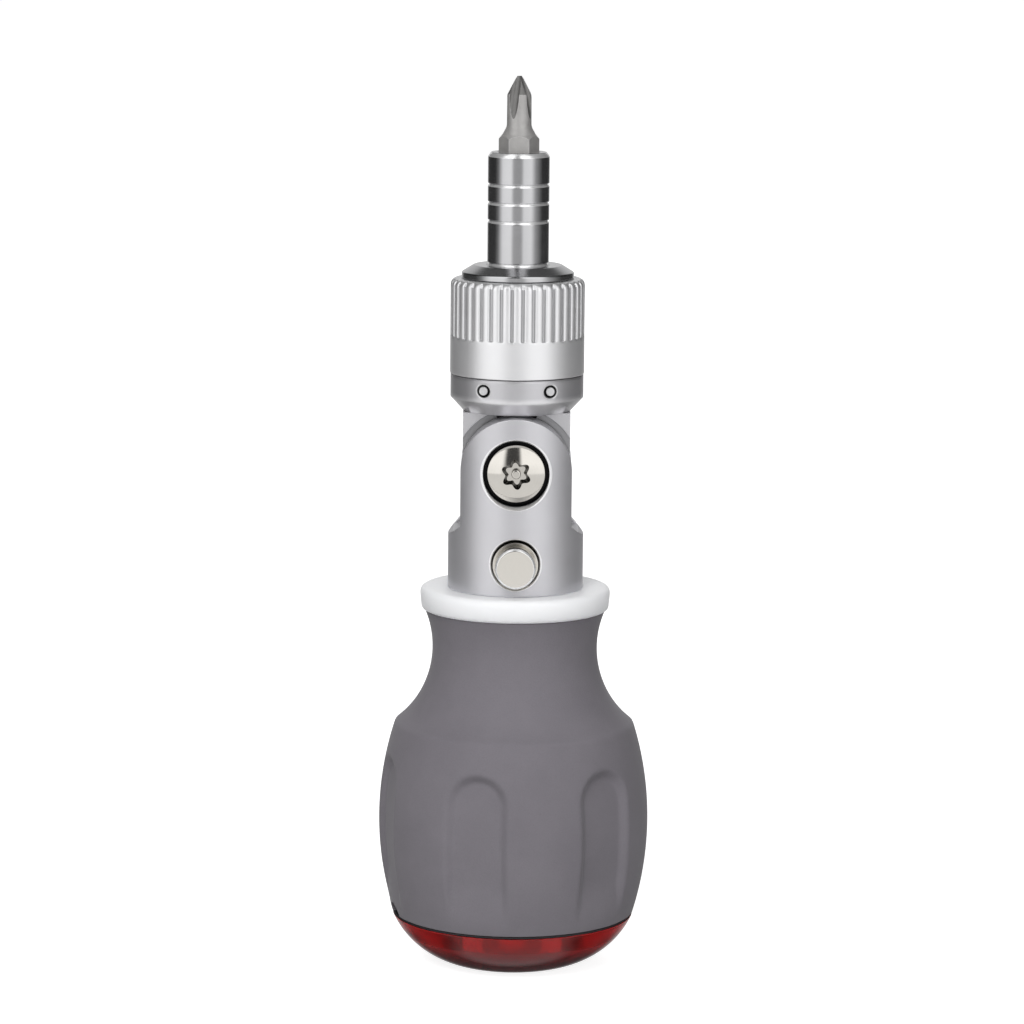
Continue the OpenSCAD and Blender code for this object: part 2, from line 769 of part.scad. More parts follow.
// Round sinking with a flared mouth in the front of the yoke
module front_well(r, depth, z) {
  y_bar(r, -yoke_r - over, depth - yoke_r, z);
  y_cone(r + mouth_flare, r, -yoke_r, mouth_depth - yoke_r, z);
}

// Forked end of the handle that carries the head
module yoke() {
  color("#b9b8bf") difference() {
    union() {
      intersection() {
        translate([0, 0, yoke_z]) cylinder(r = yoke_r, h = pivot_rise + ear_r);
        along_y(yoke_r) yoke_face();
      }
      hex_bar(shank_af, shank_len + over, shank_foot_z);
    }
    translate([-yoke_r - over, -slot_half, slot_floor_z])
      cube([2 * (yoke_r + over), 2 * slot_half, pivot_rise + ear_r]);
    y_bar(barrel_r + fit, -yoke_r, yoke_r, pivot_z);
    front_well(counterbore_r, counterbore_depth, pivot_z);
    mirror([0, 1, 0]) front_well(counterbore_r, counterbore_depth, pivot_z);
    front_well(button_well_r, yoke_r + well_floor_y, button_z);
    y_bar(button_shank_r + run_gap, well_floor_y - over,
      button_tail_y + button_travel + pass_gap, button_z);
    translate([0, 0, shank_foot_z - over])
      cylinder(r = shoe_guide_r + run_gap, h = button_z - shank_foot_z + over);
    translate([0, 0, button_z])
      cylinder(r = shoe_stem_r + run_gap, h = slot_floor_z - button_z + over);
  }
}

// Domed head of the pivot, its seat at y = 0 and its crown towards -Y
module domed_head() {
  intersection() {
    y_bar(pivot_head_r, -pivot_head_h, 0, 0);
    translate([0, pivot_dome_r - pivot_head_h, 0]) sphere(r = pivot_dome_r);
  }
}

// Six lobes around a core, drawn flat
module six_lobes() {
  circle(r = lobe_w * lobe_core_share);
  for (turn = [0 : 60 : 300])
    rotate(turn) translate([lobe_w * lobe_place_share, 0]) circle(r = lobe_w * lobe_round_share);
}

module pivot_screw() {
  color("#c9c5bd") difference() {
    union() {
      translate([0, -seat_y - fit, pivot_z]) domed_head();
      y_bar(pivot_thread_r, -seat_y - 2 * fit, seat_y - fit, pivot_z);
    }
    translate([0, lobe_depth - seat_y - pivot_head_h, pivot_z]) rotate([90, 0, 0])
      linear_extrude(height = lobe_depth + over) six_lobes();
  }
  color("#c9c5bd") y_bar(lobe_pin_r, lobe_pin_drop - seat_y - pivot_head_h,
    lobe_depth - seat_y - pivot_head_h + over, pivot_z);
}

// Threaded barrel that the head swings on, its own head at the back
module pivot_barrel() {
  color("#c9c5bd") difference() {
    union() {
      y_bar(barrel_r, -seat_y, seat_y + 2 * fit, pivot_z);
      mirror([0, 1, 0]) translate([0, -seat_y - fit, pivot_z]) domed_head();
    }
    y_bar(pivot_thread_r + fit, -seat_y - over, seat_y, pivot_z);
    translate([-coin_slot_w / 2, seat_y + pivot_head_h - coin_slot_depth, pivot_z - pivot_head_r - over])
      cube([coin_slot_w, coin_slot_depth + over, 2 * (pivot_head_r + over)]);
  }
}

// Thin washers between the tongue and the ears
module thrust_washers() {
  washer_t = slot_half - tongue_in_half - run_gap - fit;
  washer_r = tongue_r - pass_gap;
  color("#8d8d92") for (side = [0, 1]) mirror([0, side, 0]) difference() {
    y_bar(washer_r, -slot_half + fit, -slot_half + fit + washer_t, pivot_z);
    y_bar(barrel_r + fit, -slot_half - over, 0, pivot_z);
  }
}

// Button whose inner ramp draws the brake shoe down when it is pressed
module lock_button() {
  color("#c9c5bd") difference() {
    union() {
      y_cone(button_r - button_bevel, button_r, button_front_y, button_front_y + button_bevel, button_z);
      y_bar(button_r, button_front_y + button_bevel, button_back_y, button_z);
      y_bar(button_shank_r, button_back_y - over, button_tail_y, button_z);
    }
    along_x(button_shank_r + over) polygon([
      [ramp_start_y, ramp_low_z - over], [ramp_start_y, ramp_low_z],
      [ramp_end_y, ramp_low_z + ramp_slope * (ramp_end_y - ramp_start_y)],
      [ramp_end_y, ramp_low_z - over]
    ]);
    translate([-shoe_stem_r - pass_gap, -button_travel - shoe_stem_r - pass_gap, ramp_low_z - over])
      cube([
        2 * (shoe_stem_r + pass_gap), button_travel + 2 * (shoe_stem_r + pass_gap),
        2 * (button_shank_r + over)
      ]);
  }
}

// Rim of the tongue with its V groove, a wheel about the pivot, grown by a gap
module rim_wheel(gap, half) {
  floor_r = tongue_r - groove_depth + gap;
  translate([0, 0, pivot_z]) rotate([90, 0, 0]) rotate_extrude() polygon([
    [0, -half], [tongue_r + gap, -half], [tongue_r + gap, gap - groove_mouth],
    [floor_r, gap - groove_floor], [floor_r, groove_floor - gap],
    [tongue_r + gap, groove_mouth - gap], [tongue_r + gap, half], [0, half]
  ]);
}

// Sliding shoe whose wedge grips the V groove in the tongue's rim
module brake_shoe() {
  color("#a8925a") difference() {
    union() {
      translate([0, 0, shoe_foot_z]) cylinder(r = shoe_guide_r, h = shoe_guide_h);
      translate([0, 0, shoe_guide_top_z - over])
        cylinder(r = shoe_collar_r, h = shoe_collar_z - shoe_guide_top_z + over);
      translate([0, 0, shoe_collar_z - over])
        cylinder(r = shoe_stem_r, h = pivot_z - tongue_r + groove_depth - shoe_collar_z + over);
    }
    rim_wheel(run_gap, tongue_in_half);
  }
}

module lock_spring() {
  color("#6f7076") translate([0, 0, screw_tip_z + fit])
    coil(shoe_guide_r - lock_wire_r - pass_gap, lock_wire_r, lock_turns,
      shoe_foot_z - screw_tip_z - 2 * fit);
}

// Holes of the two head pins, each with a wider mouth on both sides
module head_pin_holes() {
  for (x = [-head_pin_x, head_pin_x]) translate([x, 0, 0]) {
    y_bar(head_pin_r + fit, -housing_r, housing_r, head_pin_z);
    for (side = [0, 1]) mirror([0, side, 0])
      y_bar(head_pin_mouth_r, -housing_r, pin_mouth_depth - head_pin_reach, head_pin_z);
  }
}

// Tongue and stub that carry the ratchet on the yoke
module pivot_head() {
  color("#a9a9b0") difference() {
    union() {
      rim_wheel(0, tongue_in_half);
      translate([-tongue_r, -tongue_half, pivot_z + flank_rise])
        cube([2 * tongue_r, tongue_t, housing_z - fit - pivot_z - flank_rise]);
      translate([0, 0, housing_z - 2 * fit]) cylinder(r = stub_r, h = stub_h + 2 * fit);
    }
    for (side = [0, 1]) mirror([0, side, 0])
      y_bar(recess_r, tongue_in_half, tongue_half + over, pivot_z);
    y_bar(barrel_r + run_gap, -tongue_half, tongue_half, pivot_z);
    translate([0, 0, stub_top_z - journal_h])
      cylinder(r = foot_bush_r + fit, h = journal_h + over);
    head_pin_holes();
  }
}

// Cup, neck and bevelled foot of the ratchet
module ratchet_housing() {
  spigot_bore = nose_spigot_r + fit;
  spigot_floor_z = nose_spigot_z - fit;
  color("#b4b4ba") difference() {
    rotate_extrude() polygon([
      [stub_r + fit, housing_z], [housing_foot_r, housing_z], [housing_r, housing_bevel_z],
      [housing_r, housing_top_z], [neck_r, housing_top_z], [neck_r, nose_z - fit],
      [spigot_bore, nose_z - fit], [spigot_bore, spigot_floor_z], [gear_bore_r, spigot_floor_z],
      [gear_bore_r, floor_z], [foot_bush_r + fit, floor_z], [foot_bush_r + fit, stub_top_z + fit],
      [stub_r + fit, stub_top_z + fit]
    ]);
    head_pin_holes();
    translate([0, 0, pawl_window_z]) linear_extrude(height = pawl_window_h)
      pawl_fan(pawl_span + window_turn, neck_r + over);
    translate([0, pawl_pin_y, pawl_window_z - pawl_pin_seat])
      cylinder(r = pawl_pin_r + fit, h = pawl_window_h + 2 * pawl_pin_seat);
  }
}

module head_pins() {
  color("#c8c8cc") for (x = [-head_pin_x, head_pin_x])
    translate([x, 0, 0]) y_bar(head_pin_r, -head_pin_reach, head_pin_reach, head_pin_z);
}

// Fan that opens towards +Y, flat at its far edge
module pawl_fan(half_turn, far_y) {
  polygon([[0, 0], [far_y * tan(half_turn), far_y], [-far_y * tan(half_turn), far_y]]);
}

// Outline of the ratchet gear, grown by a gap
module gear_outline(gap) {
  pitch = 360 / tooth_count;
  tip_r = tooth_tip_r + gap;
  root_r = tip_r - tooth_depth;
  spread = atan(gap / tooth_tip_r);
  polygon([
    for (i = [0 : tooth_count - 1], side = [-1, 1], end = [0, 1])
      let (low = (side < 0) == (end == 0), r = low ? root_r : tip_r,
        turn = i * pitch + side * (pitch * (low ? tooth_root_share : tooth_tip_share) + spread))
        [r * cos(turn), r * sin(turn)]
  ]);
}

// Turns its children about the pawl's pin
module about_pawl_pin(turn) {
  translate([0, pawl_pin_y, 0]) rotate([0, 0, turn]) translate([0, -pawl_pin_y, 0]) children();
}

// Rocking pawl, level between its two working places
module pawl() {
  color("#77777c") translate([0, 0, pawl_z]) difference() {
    intersection() {
      linear_extrude(height = pawl_h) pawl_fan(pawl_span, pawl_back_y);
      for_each_end() cylinder(r = neck_r - fit, h = pawl_h);
    }
    translate([0, 0, -over]) {
      cylinder(r = tooth_tip_r + pawl_room, h = pawl_h + 2 * over);
      for (turn = [-pawl_swing, pawl_swing])
        about_pawl_pin(turn) linear_extrude(height = pawl_h + 2 * over) gear_outline(mesh_room);
      translate([0, pawl_pin_y, 0]) cylinder(r = pawl_pin_r + run_gap, h = pawl_h + 2 * over);
    }
  }
}

// What its children have in common at both ends of the pawl's turn
module for_each_end() {
  intersection() {
    about_pawl_pin(-pawl_swing) children();
    about_pawl_pin(pawl_swing) children();
  }
}

module pawl_pin() {
  color("#c8c8cc") translate([0, pawl_pin_y, pawl_window_z - pawl_pin_seat + fit])
    cylinder(r = pawl_pin_r, h = pawl_window_h + 2 * (pawl_pin_seat - fit));
}

// Knurled ring that turns to choose the direction
module selector_collar() {
  round_z = collar_top_z - collar_round;
  color("#c4c4c8") difference() {
    rotate_extrude() {
      translate([collar_bore_r, collar_z]) square([collar_r - collar_bore_r, collar_h - collar_round]);
      translate([collar_bore_r, collar_z])
        square([collar_r - collar_round - collar_bore_r, collar_h]);
      translate([collar_r - collar_round, round_z]) circle(r = collar_round);
    }
    for (i = [0 : knurl_count - 1])
      rotate([0, 0, i * 360 / knurl_count]) translate([collar_r, 0, collar_z + band_h])
        cylinder(r = knurl_groove_r, h = collar_h, $fn = 24);
    y_bar(ball_r + fit, 0, ball_hole_y, ball_z);
  }
}

module selector_ball() {
  color("#d0d0d4") translate([0, ball_y, ball_z]) sphere(r = ball_r);
}

module selector_spring() {
  color("#6f7076") translate([0, ball_y + ball_r + fit, ball_z]) rotate([-90, 0, 0])
    coil(ball_r - ball_wire_r - fit, ball_wire_r, ball_turns, ball_hole_y - ball_y - ball_r - 2 * fit);
}

// Bevelled front cover, which keeps the collar on its neck
module nose_ring() {
  bore = holder_r + run_gap;
  color("#d2d2d6") rotate_extrude() polygon([
    [bore, nose_spigot_z], [nose_spigot_r, nose_spigot_z], [nose_spigot_r, nose_z], [nose_r, nose_z],
    [nose_r, nose_z + nose_edge_h], [nose_top_r, nose_top_z], [bore, nose_top_z]
  ]);
}

module spindle_bush() {
  color("#a8925a") tube(gear_bore_r - fit, holder_r + run_gap, bush_h, bush_z);
}

module foot_bush() {
  bush_foot_z = stub_top_z - journal_h + fit;
  color("#a8925a") tube(foot_bush_r, journal_r + run_gap, floor_z - fit - bush_foot_z, bush_foot_z);
}

module gear_washer() {
  color("#9a9a9e") tube(gear_bore_r - pass_gap, journal_r + pass_gap, gear_washer_t, floor_z + fit);
}

module ratchet_gear() {
  color("#8a8a90") difference() {
    translate([0, 0, gear_z]) linear_extrude(height = gear_h) gear_outline(0);
    hex_bar(gear_af + 2 * fit, gear_h + 2 * over, gear_z - over);
  }
}

// Spindle with the bit socket at its upper end
module bit_holder() {
  groove_half = holder_groove_w / 2;
  color("#d8d8dc") difference() {
    union() {
      translate([0, 0, holder_z]) cylinder(r = holder_r, h = holder_top_z - holder_bevel - holder_z);
      translate([0, 0, holder_top_z - holder_bevel])
        cylinder(r1 = holder_r, r2 = holder_r - holder_bevel, h = holder_bevel);
      hex_bar(gear_af, gear_h + over, gear_z);
      translate([0, 0, stub_top_z - journal_h + pass_gap])
        cylinder(r = journal_r, h = gear_z - stub_top_z + journal_h);
    }
    for (i = [0 : holder_grooves - 1])
      translate([0, 0, holder_top_z - holder_groove_drop - i * holder_groove_step])
        rotate_extrude() polygon([
          [holder_r - holder_groove_depth, 0], [holder_r, groove_half],
          [holder_r + over, groove_half], [holder_r + over, -groove_half], [holder_r, -groove_half]
        ]);
    hex_bar(bit_af + 2 * fit, socket_depth + over, socket_z);
    translate([0, 0, magnet_z - fit]) cylinder(r = magnet_r + fit, h = magnet_h + over);
  }
}

module bit_magnet() {
  color("#3c3c40") translate([0, 0, magnet_z]) cylinder(r = magnet_r, h = magnet_h);
}

module driver_bit() {
  color("#8f8d8b") translate([0, 0, bit_z]) bit("cross");
}

grip();
handle_core();
neck_ring();
end_cap();
cap_seal();
bit_carrier();
stored_cross_bits();
stored_slot_bits();
stored_hex_bits();
stored_square_bits();
shank_screw();
shank_washer();
yoke();
pivot_screw();
pivot_barrel();
thrust_washers();
lock_button();
brake_shoe();
lock_spring();
pivot_head();
ratchet_housing();
head_pins();
pawl();
pawl_pin();
selector_collar();
selector_ball();
selector_spring();
nose_ring();
spindle_bush();
foot_bush();
gear_washer();
ratchet_gear();
bit_holder();
bit_magnet();
driver_bit();
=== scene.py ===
"""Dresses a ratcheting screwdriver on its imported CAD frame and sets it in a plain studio."""

import json
import logging
import math
from dataclasses import dataclass, replace
from enum import Enum
from typing import Any, Callable, ClassVar, Mapping, Optional, Sequence

import bpy
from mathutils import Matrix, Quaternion, Vector

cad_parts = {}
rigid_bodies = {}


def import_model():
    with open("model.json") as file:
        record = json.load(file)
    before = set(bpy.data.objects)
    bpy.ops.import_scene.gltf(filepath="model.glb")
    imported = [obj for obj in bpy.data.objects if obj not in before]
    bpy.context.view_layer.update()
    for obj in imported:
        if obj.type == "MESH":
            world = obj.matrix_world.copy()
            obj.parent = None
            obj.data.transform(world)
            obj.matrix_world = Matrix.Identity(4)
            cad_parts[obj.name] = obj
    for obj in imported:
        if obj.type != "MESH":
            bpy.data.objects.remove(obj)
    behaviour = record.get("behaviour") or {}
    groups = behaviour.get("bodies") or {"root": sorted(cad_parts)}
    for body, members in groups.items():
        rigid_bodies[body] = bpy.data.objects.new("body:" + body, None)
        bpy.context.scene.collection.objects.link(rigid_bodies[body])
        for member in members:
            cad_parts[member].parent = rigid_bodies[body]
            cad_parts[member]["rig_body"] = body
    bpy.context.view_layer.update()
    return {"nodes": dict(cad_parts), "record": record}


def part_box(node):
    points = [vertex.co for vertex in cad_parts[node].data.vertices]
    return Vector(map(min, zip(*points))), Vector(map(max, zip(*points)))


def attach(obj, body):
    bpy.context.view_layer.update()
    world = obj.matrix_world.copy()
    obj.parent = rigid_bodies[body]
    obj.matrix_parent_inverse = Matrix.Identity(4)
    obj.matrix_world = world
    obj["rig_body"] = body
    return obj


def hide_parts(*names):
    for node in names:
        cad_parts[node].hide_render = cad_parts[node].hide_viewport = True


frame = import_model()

log = logging.getLogger("screwdriver")

Point = tuple[float, float]
Place = tuple[float, float, float]
Colour = tuple[float, float, float]
Piece = bpy.types.Object
Face = bpy.types.MeshPolygon
Node = bpy.types.Node
Socket = bpy.types.NodeSocket
Tree = bpy.types.NodeTree

MM = 0.001
WELD = 0.000002
ORIGIN = (0.0, 0.0, 0.0)

# Places that a piece and a finish share, in millimetres
PIVOT_Z = 92.65
PIN_X = 6.0
PIN_Z = 107.65


# Outlines

@dataclass(frozen=True)
class Corner:
    """One corner of a turned outline, in millimetres from the axis and along it."""

    r: float
    along: float
    ease: float = 0.0
    steps: int = 4


def arc(centre: Point, radius: float, start: float, end: float, count: int) -> list[Corner]:
    """Points along a round part of an outline.

    Args:
        centre: Middle of the arc, from the axis and along it.
        radius: Radius of the arc.
        start: Angle of the first point in degrees, zero pointing away from the axis.
        end: Angle of the last point in degrees.
        count: Number of steps.

    Returns:
        The corners in order.
    """
    turns = [math.radians(start + (end - start) * i / count) for i in range(count + 1)]
    return [Corner(centre[0] + radius * math.cos(t), centre[1] + radius * math.sin(t)) for t in turns]


def eased(corners: Sequence[Corner], closed: bool = True) -> list[Point]:
    """Rounds the corners that ask for it and keeps the faces beside them flat.

    Args:
        corners: The outline's corners in order.
        closed: True where the last corner joins the first.

    Returns:
        The outline's points in metres, the first repeated at the end if it is closed.
    """
    points: list[Vector] = []
    count = len(corners)
    for i, corner in enumerate(corners):
        here = Vector((corner.r, corner.along))
        inner = closed or 0 < i < count - 1
        if corner.ease <= 0 or not inner:
            points.append(here)
            continue
        sides = []
        for other in (corners[i - 1], corners[(i + 1) % count]):
            way = Vector((other.r, other.along)) - here
            sides.append(way.normalized() * min(corner.ease, 0.42 * way.length))
        start, end = here + sides[0], here + sides[1]
        points.append(here + sides[0] * 1.15)
        for step in range(corner.steps + 1):
            t = step / corner.steps
            points.append(start * (1 - t) ** 2 + here * 2 * t * (1 - t) + end * t ** 2)
        points.append(here + sides[1] * 1.15)
    if closed:
        points.append(points[0])
    return [(p.x * MM, p.y * MM) for p in points]


def ramp(value: float) -> float:
    """Smooth step from zero to one."""
    t = min(1.0, max(0.0, value))
    return t * t * (3.0 - 2.0 * t)


def ring_of(count: int, radius: Callable[[float], float]) -> list[Point]:
    """Points around a closed curve.

    Args:
        count: Number of points.
        radius: Gives the radius at an angle in radians.

    Returns:
        The points in the curve's own plane.
    """
    turns = [math.tau * i / count for i in range(count)]
    return [(radius(t) * math.cos(t), radius(t) * math.sin(t)) for t in turns]


# Bench work

class Axis(Enum):
    """Line that a turned piece goes round."""

    UP = (0.0, 0.0, 1.0)
    DEPTH = (0.0, 1.0, 0.0)

    def place(self, point: Point, centre: Vector) -> Vector:
        """Point of an outline in space."""
        return centre + Vector((point[0], 0.0, 0.0)) + point[1] * Vector(self.value)


class Cut(Enum):
    """What a cutter leaves of a piece."""

    OUTSIDE = "DIFFERENCE"
    INSIDE = "INTERSECT"


class Bench:
    """Hand tools that make and change one mesh at a time."""

    @staticmethod
    def clear() -> None:
        """Leaves nothing selected."""
        if bpy.context.object and bpy.context.object.mode != "OBJECT":
            bpy.ops.object.mode_set(mode="OBJECT")
        bpy.ops.object.select_all(action="DESELECT")

    @staticmethod
    def pick(piece: Piece) -> None:
        """Selects one piece and makes it the active one.

        Args:
            piece: The piece.
        """
        Bench.clear()
        piece.select_set(True)
        bpy.context.view_layer.objects.active = piece

    @staticmethod
    def smooth(piece: Piece, angle: float) -> None:
        """Shades a piece smooth, apart from edges sharper than an angle in degrees."""
        Bench.pick(piece)
        bpy.ops.object.shade_smooth_by_angle(angle=math.radians(angle))

    @staticmethod
    def weld() -> None:
        """Merges the doubles of the open piece and leaves all of it selected."""
        bpy.ops.mesh.select_all(action="SELECT")
        bpy.ops.mesh.remove_doubles(threshold=WELD)
        bpy.ops.mesh.select_all(action="SELECT")

    @staticmethod
    def close() -> None:
        """Points all faces of the open piece outwards and leaves edit mode."""
        bpy.ops.mesh.select_all(action="SELECT")
        bpy.ops.mesh.normals_make_consistent(inside=False)
        bpy.ops.object.mode_set(mode="OBJECT")

    @staticmethod
    def line(name: str, points: Sequence[Vector]) -> Piece:
        """Draws a chain of edges from point to point and stays in edit mode.

        Args:
            name: Name of the new piece.
            points: Points of the chain in order.

        Returns:
            The piece, open in edit mode with all of it selected.
        """
        Bench.clear()
        bpy.ops.mesh.primitive_plane_add(size=0.01)
        piece = bpy.context.object
        piece.name = name
        piece.data.name = name
        bpy.ops.object.mode_set(mode="EDIT")
        bpy.ops.mesh.select_mode(type="VERT")
        bpy.ops.mesh.select_all(action="SELECT")
        bpy.ops.mesh.merge(type="CENTER")
        bpy.ops.transform.translate(value=points[0])
        for start, end in zip(points, points[1:]):
            bpy.ops.mesh.extrude_region_move(TRANSFORM_OT_translate={"value": end - start})
        Bench.weld()
        return piece

    @staticmethod
    def turned(name: str, corners: Sequence[Corner], steps: int, axis: Axis = Axis.UP,
               centre: Place = ORIGIN, closed: bool = True) -> Piece:
        """Turns an outline a full turn, as on a lathe.

        Args:
            name: Name of the new piece.
            corners: The half section's corners in millimetres.
            steps: Faces around the piece.
            axis: Line that the outline goes round.
            centre: A point on that line, in metres.
            closed: False where both ends of the outline are on the axis.

        Returns:
            The turned piece.
        """
        middle = Vector(centre)
        piece = Bench.line(name, [axis.place(p, middle) for p in eased(corners, closed)])
        bpy.ops.mesh.spin(steps=steps, angle=math.tau, center=middle, axis=axis.value)
        Bench.weld()
        Bench.close()
        Bench.smooth(piece, 32)
        return piece

    @staticmethod
    def rod(name: str, radius: float, ends: Point, steps: int, axis: Axis = Axis.UP,
            centre: Place = ORIGIN, ease: float = 0.0) -> Piece:
        """Turns a plain round bar that cuts another piece.

        Args:
            name: Name of the bar.
            radius: Its radius in millimetres.
            ends: Where it starts and ends along the axis, in millimetres.
            steps: Faces around it.
            axis: Line that it goes round.
            centre: A point on that line, in metres.
            ease: Rounding of its first edge in millimetres.

        Returns:
            The bar.
        """
        start, end = ends
        outline = [Corner(0.0, start), Corner(radius, start, ease), Corner(radius, end), Corner(0.0, end)]
        return Bench.turned(name, outline, steps, axis, centre, closed=False)

    @staticmethod
    def prism(name: str, outline: Sequence[Vector], way: Sequence[float], taper: float = 1.0) -> Piece:
        """Fills a closed outline and draws it out to a bar.

        Args:
            name: Name of the new piece.
            outline: Corners of the flat outline, without the first repeated.
            way: Direction and length of the bar.
            taper: Size of the far end, as a share of the near one.

        Returns:
            The bar.
        """
        piece = Bench.line(name, [*outline, outline[0]])
        bpy.ops.mesh.edge_face_add()
        bpy.ops.mesh.extrude_region_move(TRANSFORM_OT_translate={"value": Vector(way)})
        bpy.ops.transform.resize(value=(taper, taper, taper))
        Bench.close()
        return piece

    @staticmethod
    def apply(piece: Piece, modifier: bpy.types.Modifier) -> None:
        """Applies one modifier."""
        Bench.pick(piece)
        bpy.ops.object.modifier_apply(modifier=modifier.name)

    @staticmethod
    def carve(piece: Piece, cutter: Piece, leaves: Cut = Cut.OUTSIDE) -> None:
        """Cuts a piece with another and takes the cutter away.

        Args:
            piece: The piece that is cut.
            cutter: The cutting piece.
            leaves: What stays of the piece.
        """
        cut = piece.modifiers.new("cut", "BOOLEAN")
        cut.operation = leaves.value
        cut.solver = "EXACT"
        cut.object = cutter
        Bench.apply(piece, cut)
        mesh = cutter.data
        bpy.data.objects.remove(cutter)
        bpy.data.meshes.remove(mesh)

    @staticmethod
    def press(piece: Piece, depth: float, share: Callable[[Vector], float]) -> None:
        """Presses a hollow into a piece, deeper where the share is larger.

        Args:
            piece: The piece.
            depth: Depth of the hollow in millimetres where the share is one.
            share: Gives the share of the depth at a point of the surface.
        """
        group = piece.vertex_groups.new(name="hollow")
        for vertex in piece.data.vertices:
            weight = share(vertex.co)
            if weight > 0:
                group.add([vertex.index], min(1.0, weight), "REPLACE")
        sink = piece.modifiers.new("sink", "DISPLACE")
        sink.strength = -depth * MM
        sink.mid_level = 0.0
        sink.direction = "NORMAL"
        sink.vertex_group = group.name
        Bench.apply(piece, sink)
        piece.vertex_groups.clear()


# Wiring of materials

@dataclass
class Wiring:
    """Nodes of one tree and the wires between them."""

    tree: Tree

    def feed(self, socket: Socket, value: Any) -> None:
        """Wires a socket to another one, or sets it to a plain value.

        Args:
            socket: Input that is fed.
            value: Output of another node, or the plain value.
        """
        if isinstance(value, Socket):
            self.tree.links.new(value, socket)
        else:
            socket.default_value = value

    def add(self, kind: str, inputs: Optional[Mapping[str | int, Any]] = None, **settings: Any) -> Node:
        """Adds a node, sets it up and feeds its inputs.

        Args:
            kind: Kind of node, without the words that all kinds start with.
            inputs: What feeds its inputs, by their names or numbers.
            settings: Its other settings.

        Returns:
            The node.
        """
        node = self.tree.nodes.new(f"ShaderNode{kind}")
        for name, value in settings.items():
            setattr(node, name, value)
        for name, value in (inputs or {}).items():
            self.feed(node.inputs[name], value)
        return node

    def calc(self, operation: str, first: Socket, second: Socket | float) -> Socket:
        """Result of one sum with two values."""
        return self.add("Math", {0: first, 1: second}, operation=operation).outputs[0]

    def span(self, value: Socket, given: Point = (0.0, 1.0), to: Point = (0.0, 1.0)) -> Socket:
        """Carries a value over from one range to another."""
        ends = {"From Min": given[0], "From Max": given[1], "To Min": to[0], "To Max": to[1]}
        return self.add("MapRange", {"Value": value, **ends}).outputs["Result"]

    def blend(self, share: Socket, below: Socket | Colour, above: Socket | Colour) -> Socket:
        """Goes from one colour to another.

        Args:
            share: Share of the second colour.
            below: First colour, plain or from another node.
            above: Second colour.

        Returns:
            The colour between them.
        """
        tones = [(*tone, 1.0) if isinstance(tone, tuple) else tone for tone in (below, above)]
        return self.add("Mix", {0: share, 6: tones[0], 7: tones[1]}, data_type="RGBA").outputs[2]


class Groups:
    """Shader node groups that the finishes share."""

    made: ClassVar[dict[str, Tree]] = {}

    @classmethod
    def get(cls, name: str, output: str) -> Tree:
        """A shared group, built when it is first asked for.

        Args:
            name: Name of the group and of the method that fills it.
            output: Name of the value that it gives.

        Returns:
            The group, with a vector and a scale going in.
        """
        if name not in cls.made:
            tree = bpy.data.node_groups.new(name, "ShaderNodeTree")
            tree.interface.new_socket("Vector", in_out="INPUT", socket_type="NodeSocketVector")
            tree.interface.new_socket("Scale", in_out="INPUT", socket_type="NodeSocketFloat")
            tree.interface.new_socket(output, in_out="OUTPUT", socket_type="NodeSocketFloat")
            start, end = tree.nodes.new("NodeGroupInput"), tree.nodes.new("NodeGroupOutput")
            fill = getattr(cls, name)
            value = fill(Wiring(tree), start.outputs["Vector"], start.outputs["Scale"])
            tree.links.new(value, end.inputs[output])
            cls.made[name] = tree
        return cls.made[name]

    @staticmethod
    def skin_grain(net: Wiring, place: Socket, scale: Socket) -> Socket:
        """Moulded or blasted skin: rounded bumps with a finer noise over them.

        Args:
            net: Wiring of the group.
            place: Where on the piece.
            scale: Bumps in a metre.

        Returns:
            The height.
        """
        cells = net.add("TexVoronoi", {"Vector": place, "Scale": scale}, feature="SMOOTH_F1")
        finer = net.calc("MULTIPLY", scale, 1.7)
        noise = net.add("TexNoise", {"Vector": place, "Scale": finer, "Detail": 3.0})
        return net.calc("SUBTRACT", noise.outputs["Fac"], cells.outputs["Distance"])

    @staticmethod
    def turned_lines(net: Wiring, place: Socket, scale: Socket) -> Socket:
        """Fine lines of the lathe, around the axis on a wall and in rings on a face.

        Args:
            net: Wiring of the group.
            place: Where on the piece.
            scale: Lines in a metre.

        Returns:
            The height.
        """
        x, y, z = net.add("SeparateXYZ", {0: place}).outputs
        flat = net.add("CombineXYZ", {"X": x, "Y": y}).outputs[0]
        away = net.add("VectorMath", {0: flat}, operation="LENGTH").outputs["Value"]
        along = net.calc("MULTIPLY", net.calc("ADD", away, z), scale)
        lines = net.add("TexNoise", {"W": along, "Scale": 1.0, "Detail": 4.0}, noise_dimensions="1D")
        return lines.outputs["Fac"]

    @staticmethod
    def cloud(net: Wiring, place: Socket, scale: Socket) -> Socket:
        """Broad soft patches of handling and tone.

        Args:
            net: Wiring of the group.
            place: Where on the piece.
            scale: Patches in a metre.

        Returns:
            The mask.
        """
        noise = net.add("TexNoise", {"Vector": place, "Scale": scale, "Detail": 5.0, "Roughness": 0.6})
        return net.span(noise.outputs["Fac"], (0.32, 0.68))


# Finishes

class Pattern(Enum):
    """Fine relief of a surface."""

    GRAIN = "skin_grain"
    LINES = "turned_lines"


@dataclass(frozen=True)
class Spot:
    """Round place along the depth of a piece, or on its front alone, that gets a painted tone of light or
    shade.
    """

    x: float
    z: float
    radius: float
    tone: Colour
    through: bool = True
    soft: float = 0.05


@dataclass(frozen=True)
class Foot:
    """Tone towards the lower end of a piece, full at one height and gone at another."""

    full: float
    to: float
    tone: Colour


